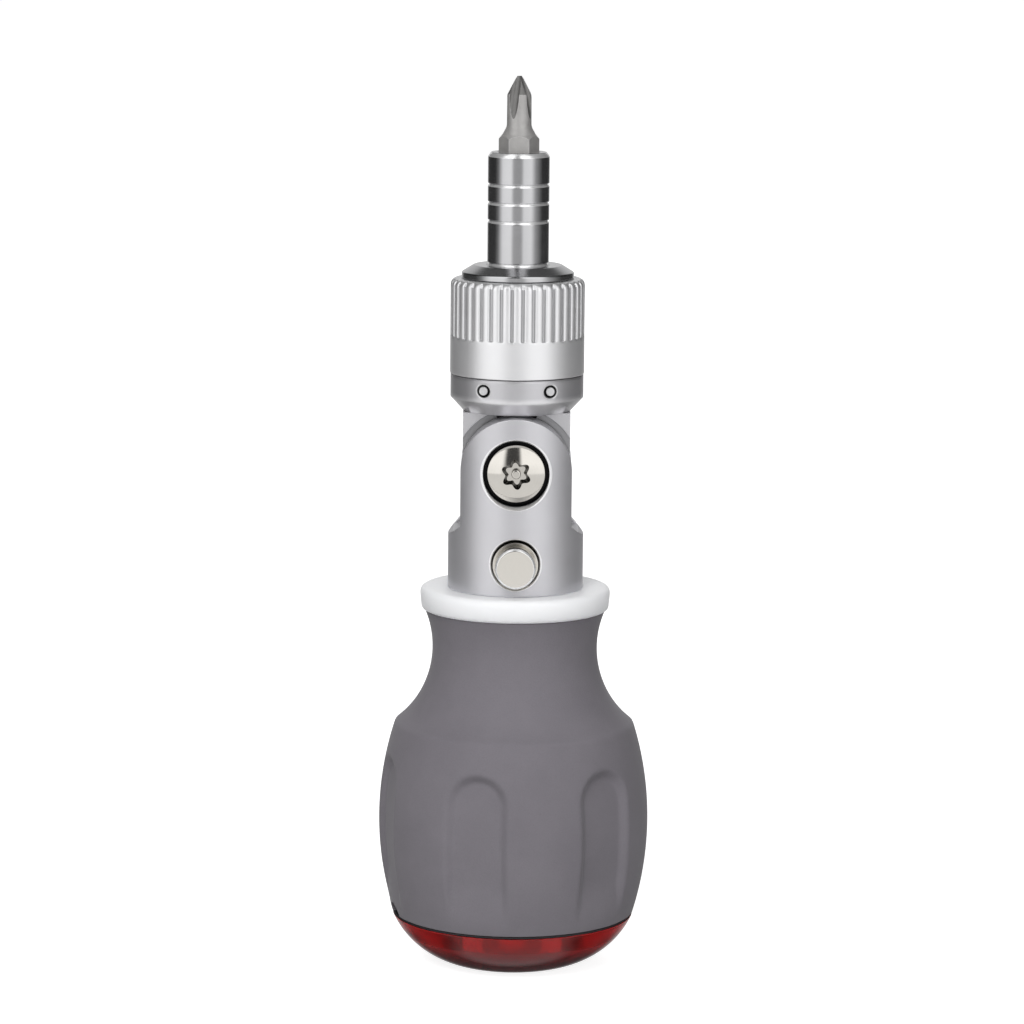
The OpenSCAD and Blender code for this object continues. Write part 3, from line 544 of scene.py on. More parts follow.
@dataclass(frozen=True)
class Finish:
    """One finish: two tones in soft patches, a range of roughness and a fine relief."""

    name: str
    slot: str
    light: Colour
    dark: Colour
    rough: Point
    metallic: float = 0.0
    pattern: Pattern = Pattern.GRAIN
    scale: float = 4000.0
    depth: float = 0.002
    cloud: float = 90.0
    centre: Place = ORIGIN
    turn: Place = ORIGIN
    edge: float = 0.0
    worn: Colour = (0.9, 0.9, 0.92)
    painted_light_spots: tuple[Spot, ...] = ()
    foot: Optional[Foot] = None
    relief_share: ClassVar[float] = 0.45
    wear: ClassVar[Point] = (0.08, 0.6)

    def material(self) -> bpy.types.Material:
        """Makes the finish when it is first asked for.

        Returns:
            The finish as a material.
        """
        found = bpy.data.materials.get(self.name)
        if found is not None:
            return found
        made = bpy.data.materials.new(self.name)
        made.use_nodes = True
        shader = made.node_tree.nodes["Principled BSDF"]
        for name, value in self.plain_values().items():
            shader.inputs[name].default_value = value
        self.join(Wiring(made.node_tree), shader)
        return made

    def plain_values(self) -> dict[str, Any]:
        """The shader's own values, by the names of its sockets."""
        return {"Metallic": self.metallic}

    def join(self, net: Wiring, shader: Node) -> None:
        """Joins the shared groups to the shader.

        Args:
            net: Wiring of the material.
            shader: Its shader.
        """
        place = net.add("TexCoord").outputs["Object"]
        turned = {"Vector": place, "Location": self.centre, "Rotation": self.turn}
        there = net.add("Mapping", turned, vector_type="TEXTURE").outputs["Vector"]
        patches = net.add("Group", node_tree=Groups.get("cloud", "Mask"))
        relief = net.add("Group", node_tree=Groups.get(self.pattern.value, "Height"))
        for group, scale in ((patches, self.cloud), (relief, self.scale)):
            net.feed(group.inputs["Vector"], there)
            net.feed(group.inputs["Scale"], scale)
        mask, height = patches.outputs["Mask"], relief.outputs["Height"]
        share = net.add("Mix", {0: self.relief_share, 2: mask, 3: height}).outputs[0]
        bump = net.add("Bump", {"Strength": 1.0, "Distance": self.depth * MM, "Height": height})
        colour = net.blend(share, self.dark, self.light)
        if self.edge > 0:
            colour = self.round_edges(net, bump, colour)
        if self.foot is not None:
            z = net.add("SeparateXYZ", {0: place}).outputs["Z"]
            low = net.span(z, (self.foot.to * MM, self.foot.full * MM))
            colour = net.blend(low, colour, self.foot.tone)
        for spot in self.painted_light_spots:
            colour = self.shade_spot(net, spot, place, colour)
        net.feed(shader.inputs["Base Color"], colour)
        net.feed(shader.inputs["Roughness"], net.span(share, to=self.rough))
        net.feed(shader.inputs["Normal"], bump.outputs["Normal"])

    def round_edges(self, net: Wiring, bump: Node, colour: Socket) -> Socket:
        """Rounds the sharp edges in the shading and wears them bright.

        Args:
            net: Wiring of the material.
            bump: Its bump node, which takes the rounded normal.
            colour: The colour so far.

        Returns:
            The colour with worn edges.
        """
        rounded = net.add("Bevel", {"Radius": self.edge * MM}, samples=6).outputs["Normal"]
        face = net.add("NewGeometry").outputs["Normal"]
        apart = net.add("VectorMath", {0: rounded, 1: face}, operation="DISTANCE").outputs["Value"]
        net.feed(bump.inputs["Normal"], rounded)
        return net.blend(net.span(apart, self.wear), colour, self.worn)

    @staticmethod
    def shade_spot(net: Wiring, spot: Spot, place: Socket, colour: Socket) -> Socket:
        """Paints light or shade into and round a hole that goes in along the depth.

        Args:
            net: Wiring of the material.
            spot: The place and its painted tone.
            place: Object coordinates.
            colour: The colour so far.

        Returns:
            The colour with the spot.
        """
        x, y, z = net.add("SeparateXYZ", {0: place}).outputs
        flat = net.add("CombineXYZ", {"X": x, "Y": z}).outputs[0]
        middle = (spot.x * MM, spot.z * MM, 0.0)
        away = net.add("VectorMath", {0: flat, 1: middle}, operation="DISTANCE").outputs["Value"]
        inside = net.span(away, ((spot.radius + spot.soft) * MM, (spot.radius - spot.soft) * MM))
        if not spot.through:
            inside = net.calc("MULTIPLY", net.calc("LESS_THAN", y, 0.0), inside)
        return net.blend(inside, colour, spot.tone)


@dataclass(frozen=True)
class SoftSkin(Finish):
    """Soft rubber skin with a faint dry sheen and little gloss."""

    sheen: float = 0.12
    sheen_rough: float = 0.45
    gloss: float = 0.32

    def plain_values(self) -> dict[str, Any]:
        """The shader's own values, with the sheen."""
        dry = {"Sheen Weight": self.sheen, "Sheen Roughness": self.sheen_rough}
        return {**super().plain_values(), **dry, "Specular IOR Level": self.gloss}


@dataclass(frozen=True)
class ClearPlastic(Finish):
    """Clear dyed plastic."""

    ior: float = 1.46

    def plain_values(self) -> dict[str, Any]:
        """The shader's own values, which let light through."""
        return {**super().plain_values(), "Transmission Weight": 1.0, "IOR": self.ior}


@dataclass(frozen=True)
class MilkyPlastic(Finish):
    """White plastic that light sinks into a little, with a faint painted glow."""

    sink: float = 6.0
    sink_share: float = 0.8
    # Strength of the painted glow, which lifts the white though the ring is no lamp.
    lift: float = 0.07

    def plain_values(self) -> dict[str, Any]:
        """Adds what lets light sink in, and a painted glow that lifts the white a little.

        Returns:
            The shader's own values, by the names of its sockets.
        """
        glow = {"Emission Color": (*self.light, 1.0), "Emission Strength": self.lift}
        deep = {"Subsurface Radius": (1.0, 1.0, 1.0), "Subsurface Scale": self.sink * MM}
        return {**super().plain_values(), "Subsurface Weight": self.sink_share, **deep, **glow}


FRONT = (math.radians(90), 0.0, 0.0)
PIVOT = (0.0, 0.0, PIVOT_Z * MM)
BUTTON_WELL_Z = 76.3

# Painted highlight ring round the pivot screw's counterbore, and painted shade inside it.
PIVOT_WELL = (Spot(0.0, PIVOT_Z, 6.5, (0.95, 0.95, 0.96)), Spot(0.0, PIVOT_Z, 6.0, (0.008, 0.008, 0.009)))
# Painted highlight ring at the mouth of the button's well, and a painted light tone inside it.
BUTTON_WELL = (Spot(0.0, BUTTON_WELL_Z, 4.8, (0.92, 0.92, 0.93), False),
               Spot(0.0, BUTTON_WELL_Z, 4.3, (0.6, 0.59, 0.57), False))
# Painted shade in the ring round the tongue's recess, and a painted shadow in the gap under the housing.
TONGUE_RIM = (Spot(0.0, PIVOT_Z, 11.28, (0.4, 0.4, 0.41)), Spot(0.0, 103.9, 4.0, (0.04, 0.04, 0.042)))
# Painted highlight ring round each head pin's hole in the housing, and painted shade in the gap round the
# pin.
PIN_RINGS = ((1.4, (0.78, 0.78, 0.79)), (1.17, (0.035, 0.035, 0.036)))
PIN_HOLES = tuple(Spot(x, PIN_Z, radius, tone) for x in (-PIN_X, PIN_X) for radius, tone in PIN_RINGS)
# The cap's red goes darker towards its foot.
RED_DARKER_LOW = Foot(3.0, 6.5, (0.10, 0.020, 0.023))

SOFT_GRIP = SoftSkin("soft_grip_skin", "soft_grip", (0.212, 0.199, 0.220), (0.172, 0.161, 0.180),
                     (0.58, 0.74), scale=4200.0, depth=0.012, cloud=75.0)
HARD_CORE = Finish("hard_core_moulded", "hard_core", (0.05, 0.05, 0.056), (0.026, 0.026, 0.03),
                   (0.42, 0.6), scale=3200.0, depth=0.006)
WHITE_RING = MilkyPlastic("white_ring_moulded", "white_ring", (0.93, 0.945, 0.99), (0.90, 0.92, 0.975),
                          (0.3, 0.44), scale=2600.0, depth=0.003, cloud=70.0)
RED_CLEAR = ClearPlastic("red_clear_moulded", "red_clear", (0.88, 0.055, 0.055), (0.80, 0.042, 0.045),
                         (0.10, 0.18), scale=900.0, depth=0.0015, cloud=60.0, foot=RED_DARKER_LOW)
RED_FROST = replace(RED_CLEAR, name="red_clear_inside", light=(0.80, 0.050, 0.050),
                    dark=(0.70, 0.040, 0.042), rough=(0.34, 0.46), depth=0.002)
BLACK_SEAL = Finish("black_seal_rubber", "black_seal", (0.018, 0.018, 0.02), (0.006, 0.006, 0.007),
                    (0.6, 0.8), scale=5000.0, depth=0.008)
BIT_STEEL = Finish("bit_steel_blasted", "bit_steel", (0.52, 0.51, 0.50), (0.40, 0.392, 0.385),
                   (0.4, 0.52), 0.45, scale=7500.0, depth=0.003, cloud=420.0, edge=0.08)
# Darker steel on the point's cone and flute walls: partly their oxidised ground finish, partly painted
# shade.
BIT_SHADE = replace(BIT_STEEL, name="bit_steel_point_oxide_and_shade", light=(0.25, 0.245, 0.24),
                    dark=(0.18, 0.177, 0.173), rough=(0.4, 0.54), metallic=0.55, edge=0.0)
# Stored bits get a much lighter steel than the driver bit: painted light for the dim inside of the red cap.
STORED_STEEL = replace(BIT_STEEL, name="stored_bit_steel_painted_light", light=(0.85, 0.84, 0.82),
                       dark=(0.64, 0.63, 0.61), rough=(0.34, 0.5), metallic=0.5, depth=0.005, edge=0.0)
DARK_STEEL = Finish("dark_steel_oiled", "dark_steel", (0.17, 0.17, 0.178), (0.085, 0.085, 0.09),
                    (0.3, 0.48), 1.0, Pattern.LINES, 9000.0, 0.002, 260.0)
SATIN_STEEL = Finish("satin_steel_ground", "satin_steel", (0.62, 0.615, 0.635), (0.54, 0.535, 0.555),
                     (0.32, 0.40), 0.85, Pattern.LINES, 14000.0, 0.0008, 120.0, edge=0.16)
YOKE_STEEL = replace(SATIN_STEEL, name="satin_steel_yoke", light=(0.68, 0.675, 0.70),
                     dark=(0.61, 0.605, 0.63), rough=(0.34, 0.42), metallic=0.8, edge=0.3,
                     painted_light_spots=PIVOT_WELL + BUTTON_WELL)
TONGUE_STEEL = replace(SATIN_STEEL, name="satin_steel_tongue", light=(0.69, 0.685, 0.705),
                       dark=(0.62, 0.615, 0.635), edge=0.2, painted_light_spots=TONGUE_RIM)
# The housing's lower cone gets a much brighter base colour: painted light.
HOUSING_STEEL = replace(SATIN_STEEL, name="satin_steel_housing", rough=(0.30, 0.38), edge=0.8,
                        worn=(0.64, 0.635, 0.655), foot=Foot(105.2, 106.5, (0.95, 0.945, 0.96)),
                        painted_light_spots=PIN_HOLES)
PIN_STEEL = replace(SATIN_STEEL, name="bright_pin_steel", light=(0.80, 0.80, 0.81),
                    dark=(0.70, 0.70, 0.71), rough=(0.24, 0.34), metallic=0.7, cloud=300.0, edge=0.0)
SATIN_ALLOY = Finish("satin_alloy_turned", "satin_alloy", (0.90, 0.90, 0.912), (0.84, 0.84, 0.852),
                     (0.33, 0.40), 0.82, Pattern.LINES, 12000.0, 0.0006, 150.0)
# Darker alloy for painted shade at the bottoms of the knurl's grooves.
ALLOY_SHADE = replace(SATIN_ALLOY, name="satin_alloy_groove_painted_shade", light=(0.56, 0.56, 0.57),
                      dark=(0.48, 0.48, 0.49), rough=(0.36, 0.46), metallic=0.7)
BRIGHT_CHROME = Finish("bright_chrome_plate", "bright_chrome", (0.57, 0.57, 0.58), (0.50, 0.50, 0.512),
                       (0.14, 0.2), 1.0, Pattern.LINES, 9000.0, 0.0004, 150.0)
# Near-white chrome for a painted highlight on the holder's groove flanks and the button's front bevel.
CHROME_HIGHLIGHT = replace(BRIGHT_CHROME, name="bright_chrome_painted_highlight", light=(1.0, 1.0, 1.0),
                      dark=(0.93, 0.93, 0.94), rough=(0.16, 0.24), metallic=0.7, depth=0.0003)
NICKEL = Finish("nickel_plate", "nickel", (0.70, 0.675, 0.63), (0.62, 0.595, 0.55),
                (0.06, 0.15), 1.0, Pattern.LINES, 9000.0, 0.0006, 260.0, PIVOT, FRONT)
# Near-black nickel for painted shade on the walls of the screw's lobe recess.
NICKEL_SHADE = replace(NICKEL, name="nickel_recess_painted_shade", light=(0.05, 0.048, 0.045),
                       dark=(0.028, 0.027, 0.025), rough=(0.2, 0.34))
# The button's nickel is a lighter copy of the screw's plating: painted light, and the screw's copy painted
# shade.
NICKEL_BUTTON = replace(NICKEL, name="nickel_button_painted_lighter", light=(0.82, 0.79, 0.735),
                        dark=(0.74, 0.71, 0.655), rough=(0.08, 0.18))
BRONZE = Finish("bronze_turned", "bronze", (0.56, 0.41, 0.19), (0.43, 0.3, 0.12),
                (0.24, 0.38), 1.0, Pattern.LINES, 9000.0, 0.0015, 240.0)

BY_SLOT: dict[str, Finish] = {
    finish.slot: finish
    for finish in (SOFT_GRIP, HARD_CORE, WHITE_RING, RED_CLEAR, BLACK_SEAL, BIT_STEEL, DARK_STEEL,
                   SATIN_STEEL, SATIN_ALLOY, BRIGHT_CHROME, NICKEL, BRONZE)
}


class Assembly:
    """A group of pieces that is built and dressed together."""

    done: ClassVar[set[str]] = set()

    def build(self) -> None:
        """Makes the pieces."""
        raise NotImplementedError

    def adopt(self, piece: Piece, node: str, *finishes: Finish) -> None:
        """Puts a finished piece in the place of a CAD node and dresses it.

        Args:
            piece: The finished piece.
            node: CAD node that it stands for.
            finishes: Its finishes, one for each material slot.
        """
        piece.data.materials.clear()
        for finish in finishes:
            piece.data.materials.append(finish.material())
        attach(piece, frame["nodes"][node]["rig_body"])
        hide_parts(node)
        self.done.add(node)
        log.info("%s stands for %s with %d faces", piece.name, node, len(piece.data.polygons))

    @staticmethod
    def mark(piece: Piece, test: Callable[[Face], bool]) -> None:
        """Gives the faces that pass a test the piece's second finish."""
        for face in piece.data.polygons:
            face.material_index = 1 if test(face) else 0

    def dress(self, node: str, finish: Finish) -> None:
        """Gives a CAD node that keeps its shape a finish.

        Args:
            node: The CAD node.
            finish: Its finish.
        """
        mesh = frame["nodes"][node].data
        mesh.materials.clear()
        mesh.materials.append(finish.material())
        self.done.add(node)
        log.info("%s keeps its shape, in %s", node, finish.name)


# Handle

@dataclass
class Handle(Assembly):
    """Soft grip with its flutes and nail notch, and the white ring on its neck."""

    rim_z: float = 9.9
    top_z: float = 66.3
    belly: Place = (-34.19, 27.0, 58.99)
    waist: Place = (32.91, 59.2, 17.81)
    crease: float = 0.12
    skin: float = 1.8
    steps: int = 420
    rows: int = 150
    inner_rows: int = 24
    flutes: int = 6
    flute_turn: float = -16.0
    flute_half: float = 6.2
    flute_depth: float = 1.6
    flute_wall: float = 1.9
    flute_end_z: float = 33.7
    run_out: float = 9.0
    run_out_gap: float = 0.6
    notch_turn: float = -75.0
    notch_half: float = 2.7
    notch_high: float = 2.15
    notch_depth: float = 2.0
    ring_r: float = 17.5
    ring_low_z: float = 66.35
    ring_high_z: float = 70.4
    ring_round: float = 1.5
    ring_lip: float = 0.15
    ring_bore: float = 6.5
    ring_seat_r: float = 12.9
    spigot_r: float = 11.5
    spigot: float = 3.05

    def build(self) -> None:
        """Makes the grip and the ring."""
        self.grip()
        self.ring()

    def side(self, inset: float, rows: int) -> list[Corner]:
        """Points up the side of the grip, drawn in by an inset.

        Args:
            inset: Distance inside the outer skin in millimetres.
            rows: Number of points.

        Returns:
            The points from the rim to the top.
        """
        belly_x, belly_z, belly_r = self.belly
        waist_x, waist_z, waist_r = self.waist
        points = []
        for i in range(rows + 1):
            z = self.rim_z + (self.top_z - self.rim_z) * i / rows
            out = belly_x + math.sqrt(max(0.0, (belly_r - inset) ** 2 - (z - belly_z) ** 2))
            drop = (waist_r + inset) ** 2 - (z - waist_z) ** 2
            if drop > 0:
                into = waist_x - math.sqrt(drop)
                gap = out - into
                if z > waist_z or gap > self.crease:
                    out = into
                elif gap >= -self.crease:
                    out -= 0.25 * (gap + self.crease) ** 2 / self.crease
            points.append(Corner(out, z))
        return points

    def flute_share(self, point: Vector) -> float:
        """Share of the flutes' depth at a point of the skin.

        Args:
            point: The point in metres.

        Returns:
            The share, zero away from the flutes.
        """
        x, y, z = (value / MM for value in point)
        radius = math.hypot(x, y)
        if z > self.flute_end_z + self.flute_half + 1.0:
            return 0.0
        if radius < self.belly[0] + math.sqrt(self.belly[2] ** 2 - (z - self.belly[1]) ** 2) - 0.6:
            return 0.0
        pitch = 360.0 / self.flutes
        turn = math.degrees(math.atan2(x, -y)) - self.flute_turn
        turn = (turn + pitch / 2) % pitch - pitch / 2
        across = radius * math.sin(math.radians(turn))
        inside = self.flute_half - math.hypot(across, max(0.0, z - self.flute_end_z))
        hollow = 1.0 - across ** 2 / (2 * radius * self.flute_depth)
        faded = ramp((z - self.rim_z - self.run_out_gap) / self.run_out)
        return max(0.0, hollow) * ramp((inside + 0.1) / self.flute_wall) * faded

    def grip(self) -> None:
        """Turns the skin, cuts the notch and presses the flutes into it."""
        outer = self.side(0.0, self.rows)
        inner = self.side(self.skin, self.inner_rows)
        rim, top = outer[0], outer[-1]
        outline = [Corner(rim.r, rim.along, 0.35), *outer[1:-1], Corner(top.r, top.along, 0.3)]
        outline += [Corner(inner[-1].r, top.along), *reversed(inner[1:-1]), Corner(inner[0].r, rim.along)]
        piece = Bench.turned("grip_skin", outline, self.steps)
        Bench.carve(piece, self.notch_cutter(rim))
        Bench.press(piece, self.flute_depth, self.flute_share)
        Bench.smooth(piece, 40)
        self.adopt(piece, "grip", SOFT_GRIP)

    def notch_cutter(self, rim: Corner) -> Piece:
        """Flat arch that cuts the nail notch.

        Args:
            rim: Corner of the grip's outline at its rim.

        Returns:
            The cutter in its place.
        """
        turn = math.radians(self.notch_turn)
        out = Vector((math.sin(turn), -math.cos(turn), 0.0))
        wide = Vector((-out.y, out.x, 0.0)) * self.notch_half
        high = Vector((0.0, 0.0, self.notch_high))
        start = out * (rim.r - self.notch_depth) * MM + Vector((0.0, 0.0, rim.along * MM))
        arch = [start + wide * a + high * b for a, b in ring_of(28, lambda _: MM)]
        return Bench.prism("notch_cutter", arch, out * (self.notch_depth + 2.0) * MM)

    def ring(self) -> None:
        """Turns the white ring with its spigot."""
        low, high, r = self.ring_low_z, self.ring_high_z, self.ring_r
        foot = low - self.spigot
        outline = [
            Corner(self.ring_bore, foot), Corner(self.spigot_r, foot, 0.3), Corner(self.spigot_r, low, 0.1),
            Corner(r - 0.4, low, 0.7, 8), Corner(r, high + self.ring_lip, self.ring_round, 12),
            Corner(self.ring_seat_r, high, 0.4, 6), Corner(self.ring_bore, high, 0.2),
        ]
        self.adopt(Bench.turned("neck_ring_turned", outline, 200), "neck_ring", WHITE_RING)


@dataclass
class EndCap(Assembly):
    """Clear red cap over the bit store, with its black seal."""

    foot_r: float = 7.6
    rim_r: float = 22.17
    dome_r: float = 15.988
    hub_r: float = 3.0
    wall: float = 1.5
    spigot_r: float = 19.35
    spigot_in: float = 18.45
    spigot_top: float = 14.4
    seal_r: float = 22.05
    seal_in: float = 19.42
    seal_low: float = 9.45
    seal_high: float = 9.85

    def build(self) -> None:
        """Makes the cap and the seal."""
        self.cap()
        self.seal()

    def dome(self, inset: float, to_r: float, count: int) -> list[Corner]:
        """Points up the dome from the foot.

        Args:
            inset: Distance inside the outer face in millimetres.
            to_r: Distance from the axis where the points end.
            count: Number of steps.

        Returns:
            The points in order.
        """
        radius = self.dome_r - inset
        end = math.degrees(math.acos((to_r - self.foot_r) / radius))
        return arc((self.foot_r, self.dome_r), radius, -90.0, -end, count)

    def is_inside(self, face: Face) -> bool:
        """True for a face of the cap's hollow that looks towards the axis."""
        towards = face.normal.x * face.center.x + face.normal.y * face.center.y < 0
        return towards and face.center.z > 0.9 * self.wall * MM

    def cap(self) -> None:
        """Turns the cap as one shell, from the foot out, up and back down inside."""
        outer = self.dome(0.0, self.rim_r, 40)
        inner = self.dome(self.wall, self.spigot_in, 30)
        top = outer[-1].along
        outline = [Corner(0.0, 0.0), Corner(self.hub_r, 0.0), *outer[:-1], Corner(self.rim_r, top, 0.16)]
        outline += [Corner(self.spigot_r, top, 0.12), Corner(self.spigot_r, self.spigot_top, 0.22)]
        outline += [Corner(self.spigot_in, self.spigot_top, 0.22), *reversed(inner)]
        outline += [Corner(self.hub_r, self.wall), Corner(0.0, self.wall)]
        piece = Bench.turned("end_cap_clear", outline, 240, closed=False)
        self.adopt(piece, "end_cap", RED_CLEAR, RED_FROST)
        self.mark(piece, self.is_inside)

    def seal(self) -> None:
        """Turns the seal as a ring with a rounded lip."""
        low, high = self.seal_low, self.seal_high
        outline = [Corner(self.seal_in, low), Corner(self.seal_r, low, 0.15)]
        outline += [Corner(self.seal_r, high, 0.15), Corner(self.seal_in, high)]
        self.adopt(Bench.turned("cap_seal_lip", outline, 160), "cap_seal", BLACK_SEAL)


# Yoke with its pivot and lock

@dataclass
class Yoke(Assembly):
    """Forked end of the handle with the pivot screw and the lock button."""

    seat_y: float = 8.81
    head_r: float = 5.3
    head_h: float = 2.6
    dome_r: float = 12.0
    stem_r: float = 2.4
    stem_end: float = 8.71
    recess_r: float = 3.0
    lobe: float = 0.55
    lobe_turn: float = 36.0
    recess_depth: float = 1.6
    recess_taper: float = 0.56
    pin_r: float = 0.85
    pin_drop: float = 0.3
    button_z: float = 76.1
    button_front: float = -15.6
    button_r: float = 3.68
    button_bevel: float = 0.36
    flange_r: float = 4.12
    flange_y: float = -11.3
    flange_end: float = -7.85
    step: float = 0.16
    step_len: float = 0.5
    guide_r: float = 2.8
    guide_end: float = 6.45
    ramp_from: float = -4.95
    ramp_to: float = 2.45
    ramp_rise: float = 3.7
    slot_half: float = 1.65
    slot_from: float = -4.15
    slot_high: float = 7.6

    @property
    def screw_front(self) -> float:
        """Where the screw's dome ends, along the depth."""
        return -(self.seat_y + self.head_h)

    def build(self) -> None:
        """Makes the yoke, the pivot screw and the button."""
        self.dress("yoke", YOKE_STEEL)
        self.screw()
        self.button()

    def screw(self) -> None:
        """Turns the pivot screw and sinks the six lobes into its head, around a pin."""
        front, seat = self.screw_front, -self.seat_y
        edge_turn = math.degrees(math.asin(self.head_r / self.dome_r))
        crown = arc((0.0, front + self.dome_r), self.dome_r, -90.0, -90.0 + edge_turn, 16)
        outline = [*crown[:-1], Corner(crown[-1].r, crown[-1].along, 0.28)]
        outline += [Corner(self.head_r, seat, 0.15), Corner(self.stem_r, seat, 0.1)]
        outline += [Corner(self.stem_r, self.stem_end, 0.2), Corner(0.0, self.stem_end)]
        piece = Bench.turned("pivot_screw_turned", outline, 128, Axis.DEPTH, PIVOT, closed=False)
        turn = math.radians(self.lobe_turn)
        star = ring_of(120, lambda t: (self.recess_r + self.lobe * math.cos(6 * (t - turn))) * MM)
        start = Vector((0.0, (front - 1.0) * MM, PIVOT_Z * MM))
        cutter = Bench.prism("lobe_cutter", [start + Vector((a, 0.0, b)) for a, b in star],
                             (0.0, (1.0 + self.recess_depth) * MM, 0.0), self.recess_taper)
        ends = (front + self.pin_drop, front + 4.0)
        Bench.carve(cutter, Bench.rod("lobe_pin", self.pin_r, ends, 48, Axis.DEPTH, PIVOT, ease=0.3))
        Bench.carve(piece, cutter)
        Bench.smooth(piece, 32)
        self.adopt(piece, "pivot_screw", NICKEL, NICKEL_SHADE)
        # The lobe walls take the painted shade.
        self.mark(piece, self.in_recess)

    def in_recess(self, face: Face) -> bool:
        """Tells the walls of the lobes from the rest of the screw.

        Args:
            face: A face of the screw.

        Returns:
            True for a wall between the lobes and the pin.
        """
        away = math.hypot(face.center.x, face.center.z - PIVOT_Z * MM) / MM
        deep = face.center.y / MM - self.screw_front
        return abs(face.normal.y) < 0.6 and 0.0 < deep < 2.0 and self.pin_r + 0.1 < away < 3.6

    def button(self) -> None:
        """Turns the lock button with its retaining flange and mills the ramp that works the shoe."""
        front, r, flange = self.button_front, self.button_r, self.flange_y
        face = r - self.button_bevel
        outline = [
            Corner(0.0, front), Corner(face * 0.5, front), Corner(face, front, 0.1),
            Corner(r, front + self.button_bevel, 0.12), Corner(r, flange + self.step_len),
            Corner(r + self.step, flange + self.step_len), Corner(r + self.step, flange, 0.03),
            Corner(self.flange_r, flange, 0.08), Corner(self.flange_r, self.flange_end, 0.2),
            Corner(self.guide_r, self.flange_end, 0.1), Corner(self.guide_r, self.guide_end, 0.3),
            Corner(0.0, self.guide_end),
        ]
        centre = (0.0, 0.0, self.button_z * MM)
        piece = Bench.turned("lock_button_turned", outline, 128, Axis.DEPTH, centre, closed=False)
        low = self.button_z - self.guide_r
        wedge = [(self.ramp_from, low - 1.0), (self.ramp_from, low),
                 (self.ramp_to, low + self.ramp_rise), (self.ramp_to, low - 1.0)]
        Bench.carve(piece, Bench.prism("ramp_cutter", [Vector((-4.0, y, z)) * MM for y, z in wedge],
                                       (8.0 * MM, 0.0, 0.0)))
        half, back = self.slot_half, self.slot_from
        slot = [(-half, back), (half, back), (half, half), (-half, half)]
        Bench.carve(piece, Bench.prism("stem_cutter", [Vector((x, y, low - 1.0)) * MM for x, y in slot],
                                       (0.0, 0.0, self.slot_high * MM)))
        Bench.smooth(piece, 32)
        self.adopt(piece, "lock_button", NICKEL_BUTTON, CHROME_HIGHLIGHT)
        # The button's front bevel takes the painted highlight.
        self.mark(piece, lambda f: -0.95 < f.normal.y < -0.25 and f.center.y / MM < front + 1.0)


# Ratchet head

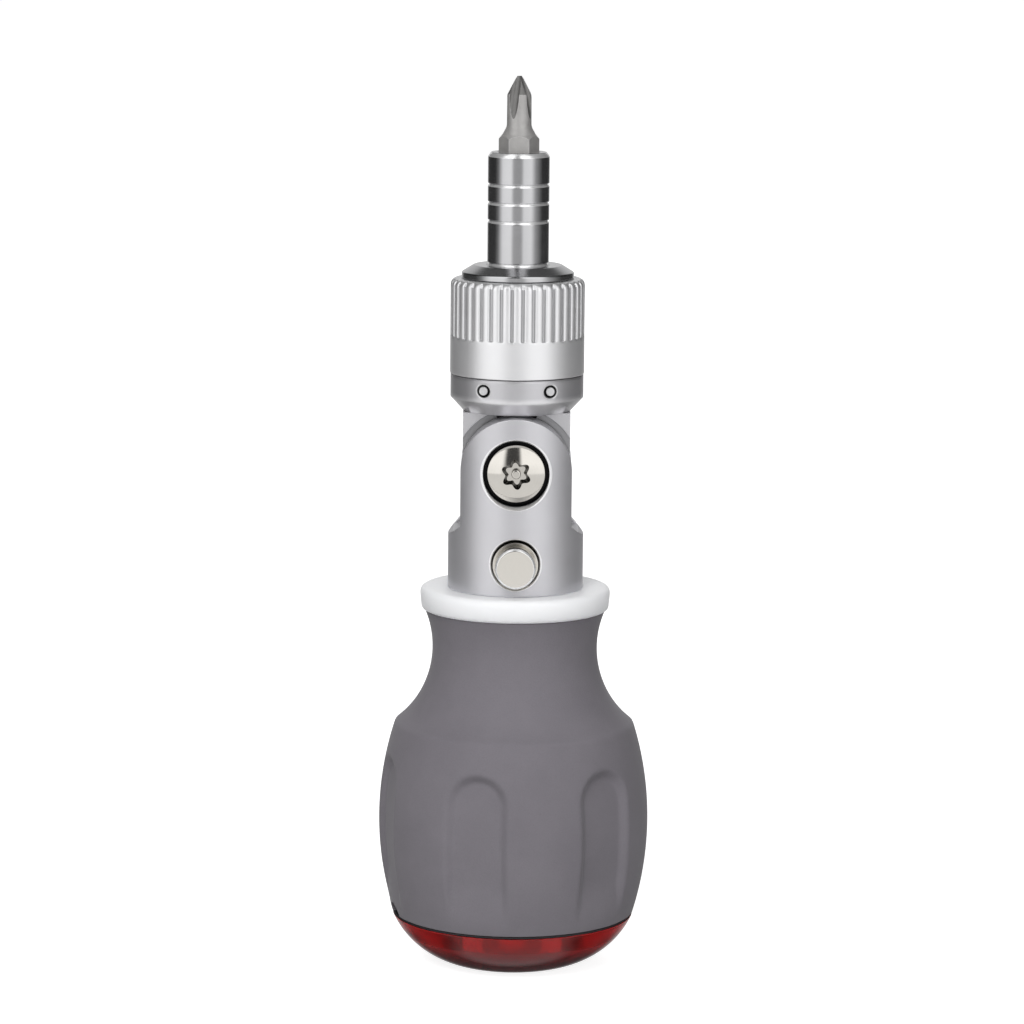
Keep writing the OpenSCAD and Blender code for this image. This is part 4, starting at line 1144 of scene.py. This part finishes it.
@dataclass
class RatchetHead(Assembly):
    """Swivelling head with its housing, pins, knurled collar and nose ring."""

    collar_r: float = 12.2
    collar_low: float = 109.8
    collar_high: float = 127.1
    collar_bore: float = 8.98
    collar_round: float = 1.2
    knurl_from: float = 116.6
    knurls: int = 38
    groove: float = 0.5
    cut_share: float = 0.66
    cut_half: float = 0.25
    swell_share: float = 0.55
    knurl_start: float = 0.3
    knurl_end: float = 0.45
    ball_r: float = 0.95
    ball_depth: float = 11.48
    nose_foot: float = 123.85
    nose_low: float = 127.25
    nose_edge: float = 0.95
    nose_high: float = 2.3
    nose_bore: float = 5.68
    nose_neck_r: float = 7.6
    nose_r: float = 10.2
    nose_top_r: float = 8.0
    pin_r: float = 0.8
    pin_reach: float = 10.46

    def build(self) -> None:
        """Makes the head from the tongue up."""
        self.dress("pivot_head", TONGUE_STEEL)
        self.dress("ratchet_housing", HOUSING_STEEL)
        self.pins()
        self.collar()
        self.nose()

    def pins(self) -> None:
        """Turns the two head pins with rounded ends and joins them to one piece."""
        reach, r = self.pin_reach, self.pin_r
        outline = [
            Corner(0.0, -reach), Corner(r * 0.5, -reach), Corner(r, -reach, 0.3, 6),
            Corner(r, reach, 0.3, 6), Corner(r * 0.5, reach), Corner(0.0, reach),
        ]
        pair = []
        for side, x in (("left", -PIN_X), ("right", PIN_X)):
            centre = (x * MM, 0.0, PIN_Z * MM)
            pair.append(Bench.turned(f"head_pin_{side}", outline, 48, Axis.DEPTH, centre, closed=False))
        Bench.pick(pair[0])
        pair[1].select_set(True)
        bpy.ops.object.join()
        pair[0].name = "head_pins_turned"
        self.adopt(pair[0], "head_pins", PIN_STEEL)

    def groove_share(self, point: Vector) -> float:
        """Share of the knurl's depth at a point of the collar.

        Args:
            point: The point in metres.

        Returns:
            The share, zero below the knurl and inside the collar.
        """
        x, y, z = (value / MM for value in point)
        if math.hypot(x, y) < self.collar_r - 1.6 or z < self.knurl_from - 0.6:
            return 0.0
        pitch = math.tau / self.knurls
        turn = (math.atan2(y, x) + pitch / 2) % pitch - pitch / 2
        away = abs(turn) * self.collar_r
        half = pitch * self.collar_r / 2
        cut = self.cut_share * math.exp(-((away / self.cut_half) ** 4))
        cut += self.swell_share * (1.0 - away / half) ** 2
        start = ramp((z - self.knurl_from + 0.1) / self.knurl_start)
        end = 1.0 - ramp((z - self.collar_high + self.knurl_end) / self.knurl_end)
        return min(1.0, cut) * start * end

    def in_groove(self, face: Face) -> bool:
        """Tells the bottoms of the knurl from the rest of the collar.

        Args:
            face: A face of the collar.

        Returns:
            True for a face deep in a groove.
        """
        deep = (self.collar_r - 0.45 * self.groove) * MM
        along = self.knurl_from * MM < face.center.z < (self.collar_high - 1.0) * MM
        return along and 0.8 * deep < math.hypot(face.center.x, face.center.y) < deep

    def collar(self) -> None:
        """Turns the selector collar, rolls the knurl and bores the spring's hole."""
        r, low, high, bore = self.collar_r, self.collar_low, self.collar_high, self.collar_bore
        outline = [Corner(bore, low), Corner(r, low, 0.22)]
        outline += [Corner(r, low + 0.8 + i * 0.5) for i in range(12)]
        outline += [Corner(r, self.knurl_from - 0.15 + i * 0.1) for i in range(5)]
        outline += [Corner(r, self.knurl_from + 0.8 + i * 0.5) for i in range(17)]
        outline += arc((r - self.collar_round, high - self.collar_round), self.collar_round, 0.0, 90.0, 12)
        outline += [Corner(bore + 0.3, high), Corner(bore, high - 0.3)]
        piece = Bench.turned("selector_collar_knurled", outline, self.knurls * 14)
        Bench.press(piece, self.groove, self.groove_share)
        height = (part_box("selector_ball")[0].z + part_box("selector_ball")[1].z) / 2
        ends = (0.0, self.ball_depth)
        Bench.carve(piece, Bench.rod("ball_cutter", self.ball_r, ends, 32, Axis.DEPTH, (0.0, 0.0, height)))
        Bench.smooth(piece, 40)
        self.adopt(piece, "selector_collar", SATIN_ALLOY, ALLOY_SHADE)
        # Faces deep in the knurl's grooves take the painted shade.
        self.mark(piece, self.in_groove)

    def nose(self) -> None:
        """Turns the bevelled nose ring."""
        low, top = self.nose_low, self.nose_low + self.nose_high
        outline = [
            Corner(self.nose_bore, self.nose_foot, 0.2), Corner(self.nose_neck_r, self.nose_foot, 0.2),
            Corner(self.nose_neck_r, low, 0.05), Corner(self.nose_r, low, 0.1),
            Corner(self.nose_r, low + self.nose_edge, 0.2), Corner(self.nose_top_r, top, 0.16),
            Corner(self.nose_bore, top, 0.14),
        ]
        self.adopt(Bench.turned("nose_ring_turned", outline, 160), "nose_ring", BRIGHT_CHROME)


@dataclass
class Spindle(Assembly):
    """Bit holder with its grip grooves and socket, and the bit in it."""

    holder_r: float = 5.6
    tail_z: float = 103.2
    tail_r: float = 3.0
    gear_z: float = 111.15
    gear_r: float = 3.45
    low_z: float = 119.2
    plain_z: float = 128.6
    mouth_z: float = 149.95
    mouth_r: float = 4.05
    grooves: tuple[float, ...] = (129.95, 137.65, 140.95, 144.25)
    groove_depth: float = 0.3
    groove_slope: float = 0.48
    groove_lip: float = 0.14
    socket_z: float = 138.55
    socket_af: float = 6.45
    socket_cut: float = 13.0
    magnet_r: float = 2.55
    magnet_seat: Point = (135.5, 139.0)
    bit_foot: float = 138.6
    bit_tip: float = 163.6
    bit_af: float = 6.35
    bit_hex: float = 14.4
    foot_r: float = 2.9
    neck_r: float = 3.0
    shank_r: float = 2.2
    cone: float = 3.4
    tip_r: float = 0.5
    flute_turn: float = -28.0
    flute_r: float = 1.0
    flute_core: float = 0.28
    flute_lean: float = -14.5
    flute_ends: Point = (-8.6, 3.0)

    def build(self) -> None:
        """Makes the holder and the bits."""
        self.holder()
        self.bit()
        for kind in ("cross", "slot", "hex", "square"):
            self.dress(f"stored_{kind}_bits", STORED_STEEL)

    @staticmethod
    def hexagon(name: str, flats: float, low: float, length: float) -> Piece:
        """A six-sided upright bar.

        Args:
            name: Name of the bar.
            flats: Width across its flats in millimetres.
            low: Height of its lower end.
            length: Its length.

        Returns:
            The bar.
        """
        corner = flats / 2 / math.cos(math.radians(30)) * MM
        six = [Vector((a, b, low * MM)) for a, b in ring_of(6, lambda _: corner)]
        return Bench.prism(name, six, (0.0, 0.0, length * MM))

    def holder(self) -> None:
        """Turns the holder and broaches the socket and the magnet's seat."""
        r, mouth = self.holder_r, self.mouth_z
        outline = [
            Corner(0.0, self.tail_z), Corner(self.tail_r, self.tail_z, 0.3),
            Corner(self.tail_r, self.gear_z, 0.1), Corner(self.gear_r, self.gear_z),
            Corner(self.gear_r, self.low_z), Corner(r, self.low_z, 0.2), Corner(r, self.plain_z),
        ]
        for z in self.grooves:
            outline += [Corner(r, z - self.groove_slope, 0.05, 2), Corner(r - self.groove_depth, z, 0.03, 2),
                        Corner(r, z + self.groove_lip, 0.04, 2)]
        outline += [
            Corner(r, mouth - 0.85, 0.06, 2), Corner(r - 0.3, mouth - 0.35, 0.06, 2),
            Corner(r - 0.6, mouth, 0.1), Corner(self.mouth_r, mouth, 0.1),
            Corner(self.mouth_r - 0.55, mouth - 0.6), Corner(0.0, mouth - 0.6),
        ]
        piece = Bench.turned("bit_holder_turned", outline, 160, closed=False)
        Bench.carve(piece, self.hexagon("socket_broach", self.socket_af, self.socket_z, self.socket_cut))
        Bench.carve(piece, Bench.rod("magnet_cutter", self.magnet_r, self.magnet_seat, 48))
        Bench.smooth(piece, 32)
        self.adopt(piece, "bit_holder", BRIGHT_CHROME, CHROME_HIGHLIGHT)
        # Upward-facing flanks of the grooves and the mouth take the painted highlight.
        self.mark(piece, lambda face: 0.3 < face.normal.z < 0.72 and face.center.z > 0.128)

    def flute_cutter(self, turn: float) -> Piece:
        """A round grinding wheel's path, leaning in towards the tip.

        Args:
            turn: Angle from the front in radians, positive towards +X.

        Returns:
            The cutter in its place.
        """
        cutter = Bench.rod("flute_cutter", self.flute_r, self.flute_ends, 64)
        cutter.rotation_euler = (math.radians(self.flute_lean), 0.0, turn)
        out = self.flute_r + self.flute_core
        cutter.location = (math.sin(turn) * out * MM, -math.cos(turn) * out * MM, self.bit_tip * MM)
        Bench.pick(cutter)
        bpy.ops.object.transform_apply(location=True, rotation=True, scale=True)
        return cutter

    def bit(self) -> None:
        """Turns the bit, gives it its hexagon and grinds the four flutes of the point."""
        foot, tip = self.bit_foot, self.bit_tip
        corner = self.bit_af / 2 / math.cos(math.radians(30)) + 0.02
        neck = foot + self.bit_hex
        outline = [
            Corner(0.0, foot), Corner(self.foot_r, foot), Corner(corner, foot + 0.9),
            Corner(corner, neck - 0.75), Corner(self.neck_r, neck + 0.1, 0.1),
            Corner(self.shank_r + 0.03, neck + 1.5, 0.5, 6), Corner(self.shank_r, tip - 4.6),
            Corner(self.shank_r, tip - self.cone, 0.1), Corner(self.tip_r, tip, 0.1), Corner(0.0, tip),
        ]
        piece = Bench.turned("driver_bit_ground", outline, 120, closed=False)
        Bench.carve(piece, self.hexagon("hexagon", self.bit_af, foot - 1.0, 30.0), Cut.INSIDE)
        for i in range(4):
            Bench.carve(piece, self.flute_cutter(math.radians(self.flute_turn + 90.0 * i)))
        Bench.smooth(piece, 28)
        self.adopt(piece, "driver_bit", BIT_STEEL, BIT_SHADE)
        # The cone and flute walls take the darker steel, part oxide and part painted shade.
        self.mark(piece, self.in_point)

    def in_point(self, face: Face) -> bool:
        """Tells the ground faces of the point from the rest of the bit.

        Args:
            face: A face of the bit.

        Returns:
            True on the cone and on the walls of the flutes.
        """
        x, y, z = (value / MM for value in face.center)
        if z > self.bit_tip - self.cone + 0.1:
            return True
        return z > self.bit_foot + self.bit_hex + 2.2 and math.hypot(x, y) < self.shank_r - 0.07


class Inside(Assembly):
    """Pieces inside the tool that keep their CAD shape."""

    def build(self) -> None:
        """Dresses every CAD node that is left, in the finish of its slot."""
        for part in frame["record"]["subparts"]:
            if part["node"] not in self.done:
                self.dress(part["node"], BY_SLOT[part["material_slot"]])


# Studio

Stops = tuple[Point, ...]


def even(level: float) -> Stops:
    """A tent band of one brightness all round."""
    return (-180.0, level), (179.9, level)


@dataclass(frozen=True)
class Band:
    """A band of the tent: stops around it, each an angle from the front in degrees and a brightness there.

    It fades in over the band below between two heights, in degrees over the floor's middle.
    """

    stops: Stops
    start: float
    end: float


SIDES = ((-180, 0.65), (-158, 0.6), (-148, 0.05), (-96, 0.03))
ENDS = ((88, 0.14), (100, 0.03), (150, 0.05), (160, 0.6), (179.9, 0.65))
WINDOWS = ((-80, 0.25), (-62, 1.3), (-24, 1.35), (-17, 0.07), (5, 0.07), (11, 1.35), (54, 1.3), (70, 0.2))
LOW_STOPS = ((-180, 0.5), (-150, 0.4), (-130, 0.3), (-92, 0.32), (-62, 0.88), (64, 0.88), (92, 0.36),
             (130, 0.32), (150, 0.4), (179.9, 0.5))
WALL_STOPS = (*SIDES, (-80, 0.2), (-60, 1.2), (-28, 1.3), (-18, 0.52), (11, 0.46), (20, 1.15), (48, 1.25),
              (66, 0.42), *ENDS)
UNDER_STOPS = ((-180, 0.08), (-100, 0.08), (-60, 0.9), (60, 0.9), (100, 0.08), (179.9, 0.08))
ROOF_STOPS = ((-180, 0.13), (-96, 0.06), *WINDOWS, (100, 0.06), (179.9, 0.13))


@dataclass
class Studio:
    """Pale floor, soft lamps, reflection tent and the camera."""

    ambient: float = 0.24
    floor_side: float = 24.0
    floor_tone: float = 0.6
    floor_lift: float = 0.86
    eye: Place = (0.0, -0.8, 0.2101)
    aim: Place = (-0.0007, 0.0, 0.0841)
    lens: float = 155.74
    sensor: float = 36.0
    near: float = 0.01
    roll: float = 0.49
    tent_r: float = 2.2
    lit: Place = (0.0, 0.0, 0.08)
    bottom: Stops = even(0.6)
    bands: tuple[Band, ...] = (
        Band(UNDER_STOPS, -66.0, -56.0), Band(LOW_STOPS, -34.0, -22.0), Band(WALL_STOPS, -5.6, -4.6),
        Band((*SIDES, *WINDOWS, *ENDS), 1.0, 12.0), Band(ROOF_STOPS, 36.0, 48.0),
        Band(even(0.13), 70.0, 80.0),
    )

    def build(self) -> None:
        """Sets up everything around the tool."""
        bpy.context.scene.view_settings.view_transform = "Standard"
        self.sky()
        self.floor()
        self.tent()
        self.lamp("key_lamp", (-0.32, -1.2, 1.05), 0.7, 15.0)
        self.lamp("fill_lamp", (0.3, -1.25, 0.6), 0.7, 4.5)
        self.lamp("back_lamp", (0.0, 1.35, 1.0), 0.9, 6.0)
        self.camera()

    @staticmethod
    def seen(net: Wiring) -> Socket:
        """Tells the rays that see the studio from those that only light the tool.

        Args:
            net: Wiring of the material or the sky.

        Returns:
            One for camera, glossy and transmission rays, and zero for the rest.
        """
        path = net.add("LightPath").outputs
        bright = net.calc("MAXIMUM", path["Is Camera Ray"], path["Is Glossy Ray"])
        return net.calc("MAXIMUM", bright, path["Is Transmission Ray"])

    @staticmethod
    def cover(piece: Piece, name: str) -> Wiring:
        """Covers a piece of the studio with a material that has no shader yet.

        Args:
            piece: The piece.
            name: Name of the material.

        Returns:
            Wiring of the material.
        """
        made = bpy.data.materials.new(name)
        made.use_nodes = True
        made.node_tree.nodes.remove(made.node_tree.nodes["Principled BSDF"])
        piece.data.materials.append(made)
        return Wiring(made.node_tree)

    def sky(self) -> None:
        """White behind the tool, and a lower even light on it."""
        world = bpy.data.worlds.new("studio_white")
        bpy.context.scene.world = world
        world.use_nodes = True
        net = Wiring(world.node_tree)
        back = net.tree.nodes["Background"]
        net.feed(back.inputs["Color"], (1.0, 1.0, 1.0, 1.0))
        net.feed(back.inputs["Strength"], net.span(self.seen(net), to=(self.ambient, 1.0)))

    def floor(self) -> None:
        """Pale floor that takes the tool's shadow."""
        Bench.clear()
        bpy.ops.mesh.primitive_plane_add(size=self.floor_side)
        ground = bpy.context.object
        ground.name = "studio_floor"
        net = self.cover(ground, "studio_floor_pale")
        matt = net.add("BsdfDiffuse", {"Color": (*(self.floor_tone,) * 3, 1.0)})
        glow = net.add("Emission", {"Strength": net.calc("MULTIPLY", self.seen(net), self.floor_lift)})
        both = net.add("AddShader", {0: matt.outputs[0], 1: glow.outputs[0]})
        net.feed(net.tree.nodes["Material Output"].inputs["Surface"], both.outputs[0])
        ground.visible_glossy = False

    def tent(self) -> None:
        """Light tent with grey gaps between its windows, which the metal reflects."""
        Bench.clear()
        bpy.ops.mesh.primitive_uv_sphere_add(segments=64, ring_count=32, radius=self.tent_r)
        shell = bpy.context.object
        shell.name = "reflection_tent"
        bpy.ops.object.shade_smooth()
        net = self.cover(shell, "tent_cloth")
        shell.active_material.cycles.emission_sampling = "NONE"
        x, y, z = net.add("SeparateXYZ", {0: net.add("TexCoord").outputs["Object"]}).outputs
        turn = net.calc("ARCTAN2", x, net.calc("MULTIPLY", y, -1.0))
        around = net.span(turn, (-math.pi, math.pi))
        level = self.panels(net, around, self.bottom)
        for band in self.bands:
            ends = [self.tent_r * math.sin(math.radians(height)) for height in (band.start, band.end)]
            level = net.blend(net.span(z, ends), level, self.panels(net, around, band.stops))
        glow = net.add("Emission", {"Color": level})
        net.feed(net.tree.nodes["Material Output"].inputs["Surface"], glow.outputs[0])
        for ray in ("camera", "diffuse", "transmission", "shadow", "volume_scatter"):
            setattr(shell, f"visible_{ray}", False)

    @staticmethod
    def panels(net: Wiring, around: Socket, stops: Stops) -> Socket:
        """Bright and dark panels around the tent.

        Args:
            net: Wiring of the tent's cloth.
            around: Share of the way around the tent.
            stops: Angle from the front in degrees, and brightness there.

        Returns:
            The brightness.
        """
        node = net.add("ValToRGB", {"Fac": around})
        elements = node.color_ramp.elements
        first = stops[0][1]
        elements[0].position, elements[1].position = 0.0, 1.0
        for element in elements:
            element.color = (first, first, first, 1.0)
        for angle, level in stops[1:]:
            elements.new((angle + 180.0) / 360.0).color = (level, level, level, 1.0)
        return node.outputs["Color"]

    def lamp(self, name: str, place: Place, size: float, power: float) -> None:
        """Hangs one soft lamp that points at the middle of the tool.

        Args:
            name: Name of the lamp.
            place: Where it hangs, in metres.
            size: Side of its square face in metres.
            power: Power in watts.
        """
        Bench.clear()
        bpy.ops.object.light_add(type="AREA", location=place)
        lamp = bpy.context.object
        lamp.name = name
        lamp.data.shape = "SQUARE"
        lamp.data.size = size
        lamp.data.energy = power
        way = Vector(self.lit) - Vector(place)
        lamp.rotation_euler = way.to_track_quat("-Z", "Y").to_euler()
        lamp.visible_glossy = False
        lamp.visible_transmission = False

    def camera(self) -> None:
        """Sets the camera where the photograph was taken from."""
        Bench.clear()
        bpy.ops.object.camera_add(location=self.eye)
        camera = bpy.context.object
        camera.name = "photo_camera"
        level = (Vector(self.aim) - Vector(self.eye)).to_track_quat("-Z", "Y")
        tilt = Quaternion((0.0, 0.0, 1.0), math.radians(self.roll))
        camera.rotation_euler = (level @ tilt).to_euler()
        camera.data.lens = self.lens
        camera.data.sensor_width = self.sensor
        camera.data.clip_start = self.near
        bpy.context.scene.camera = camera


def main() -> None:
    """Builds the tool from the handle up, then the studio around it."""
    logging.basicConfig(level=logging.INFO, format="%(name)s: %(message)s")
    for assembly in (Handle(), EndCap(), Yoke(), RatchetHead(), Spindle(), Inside()):
        log.info("building %s", type(assembly).__name__)
        assembly.build()
    Studio().build()


if __name__ == "__main__":
    main()
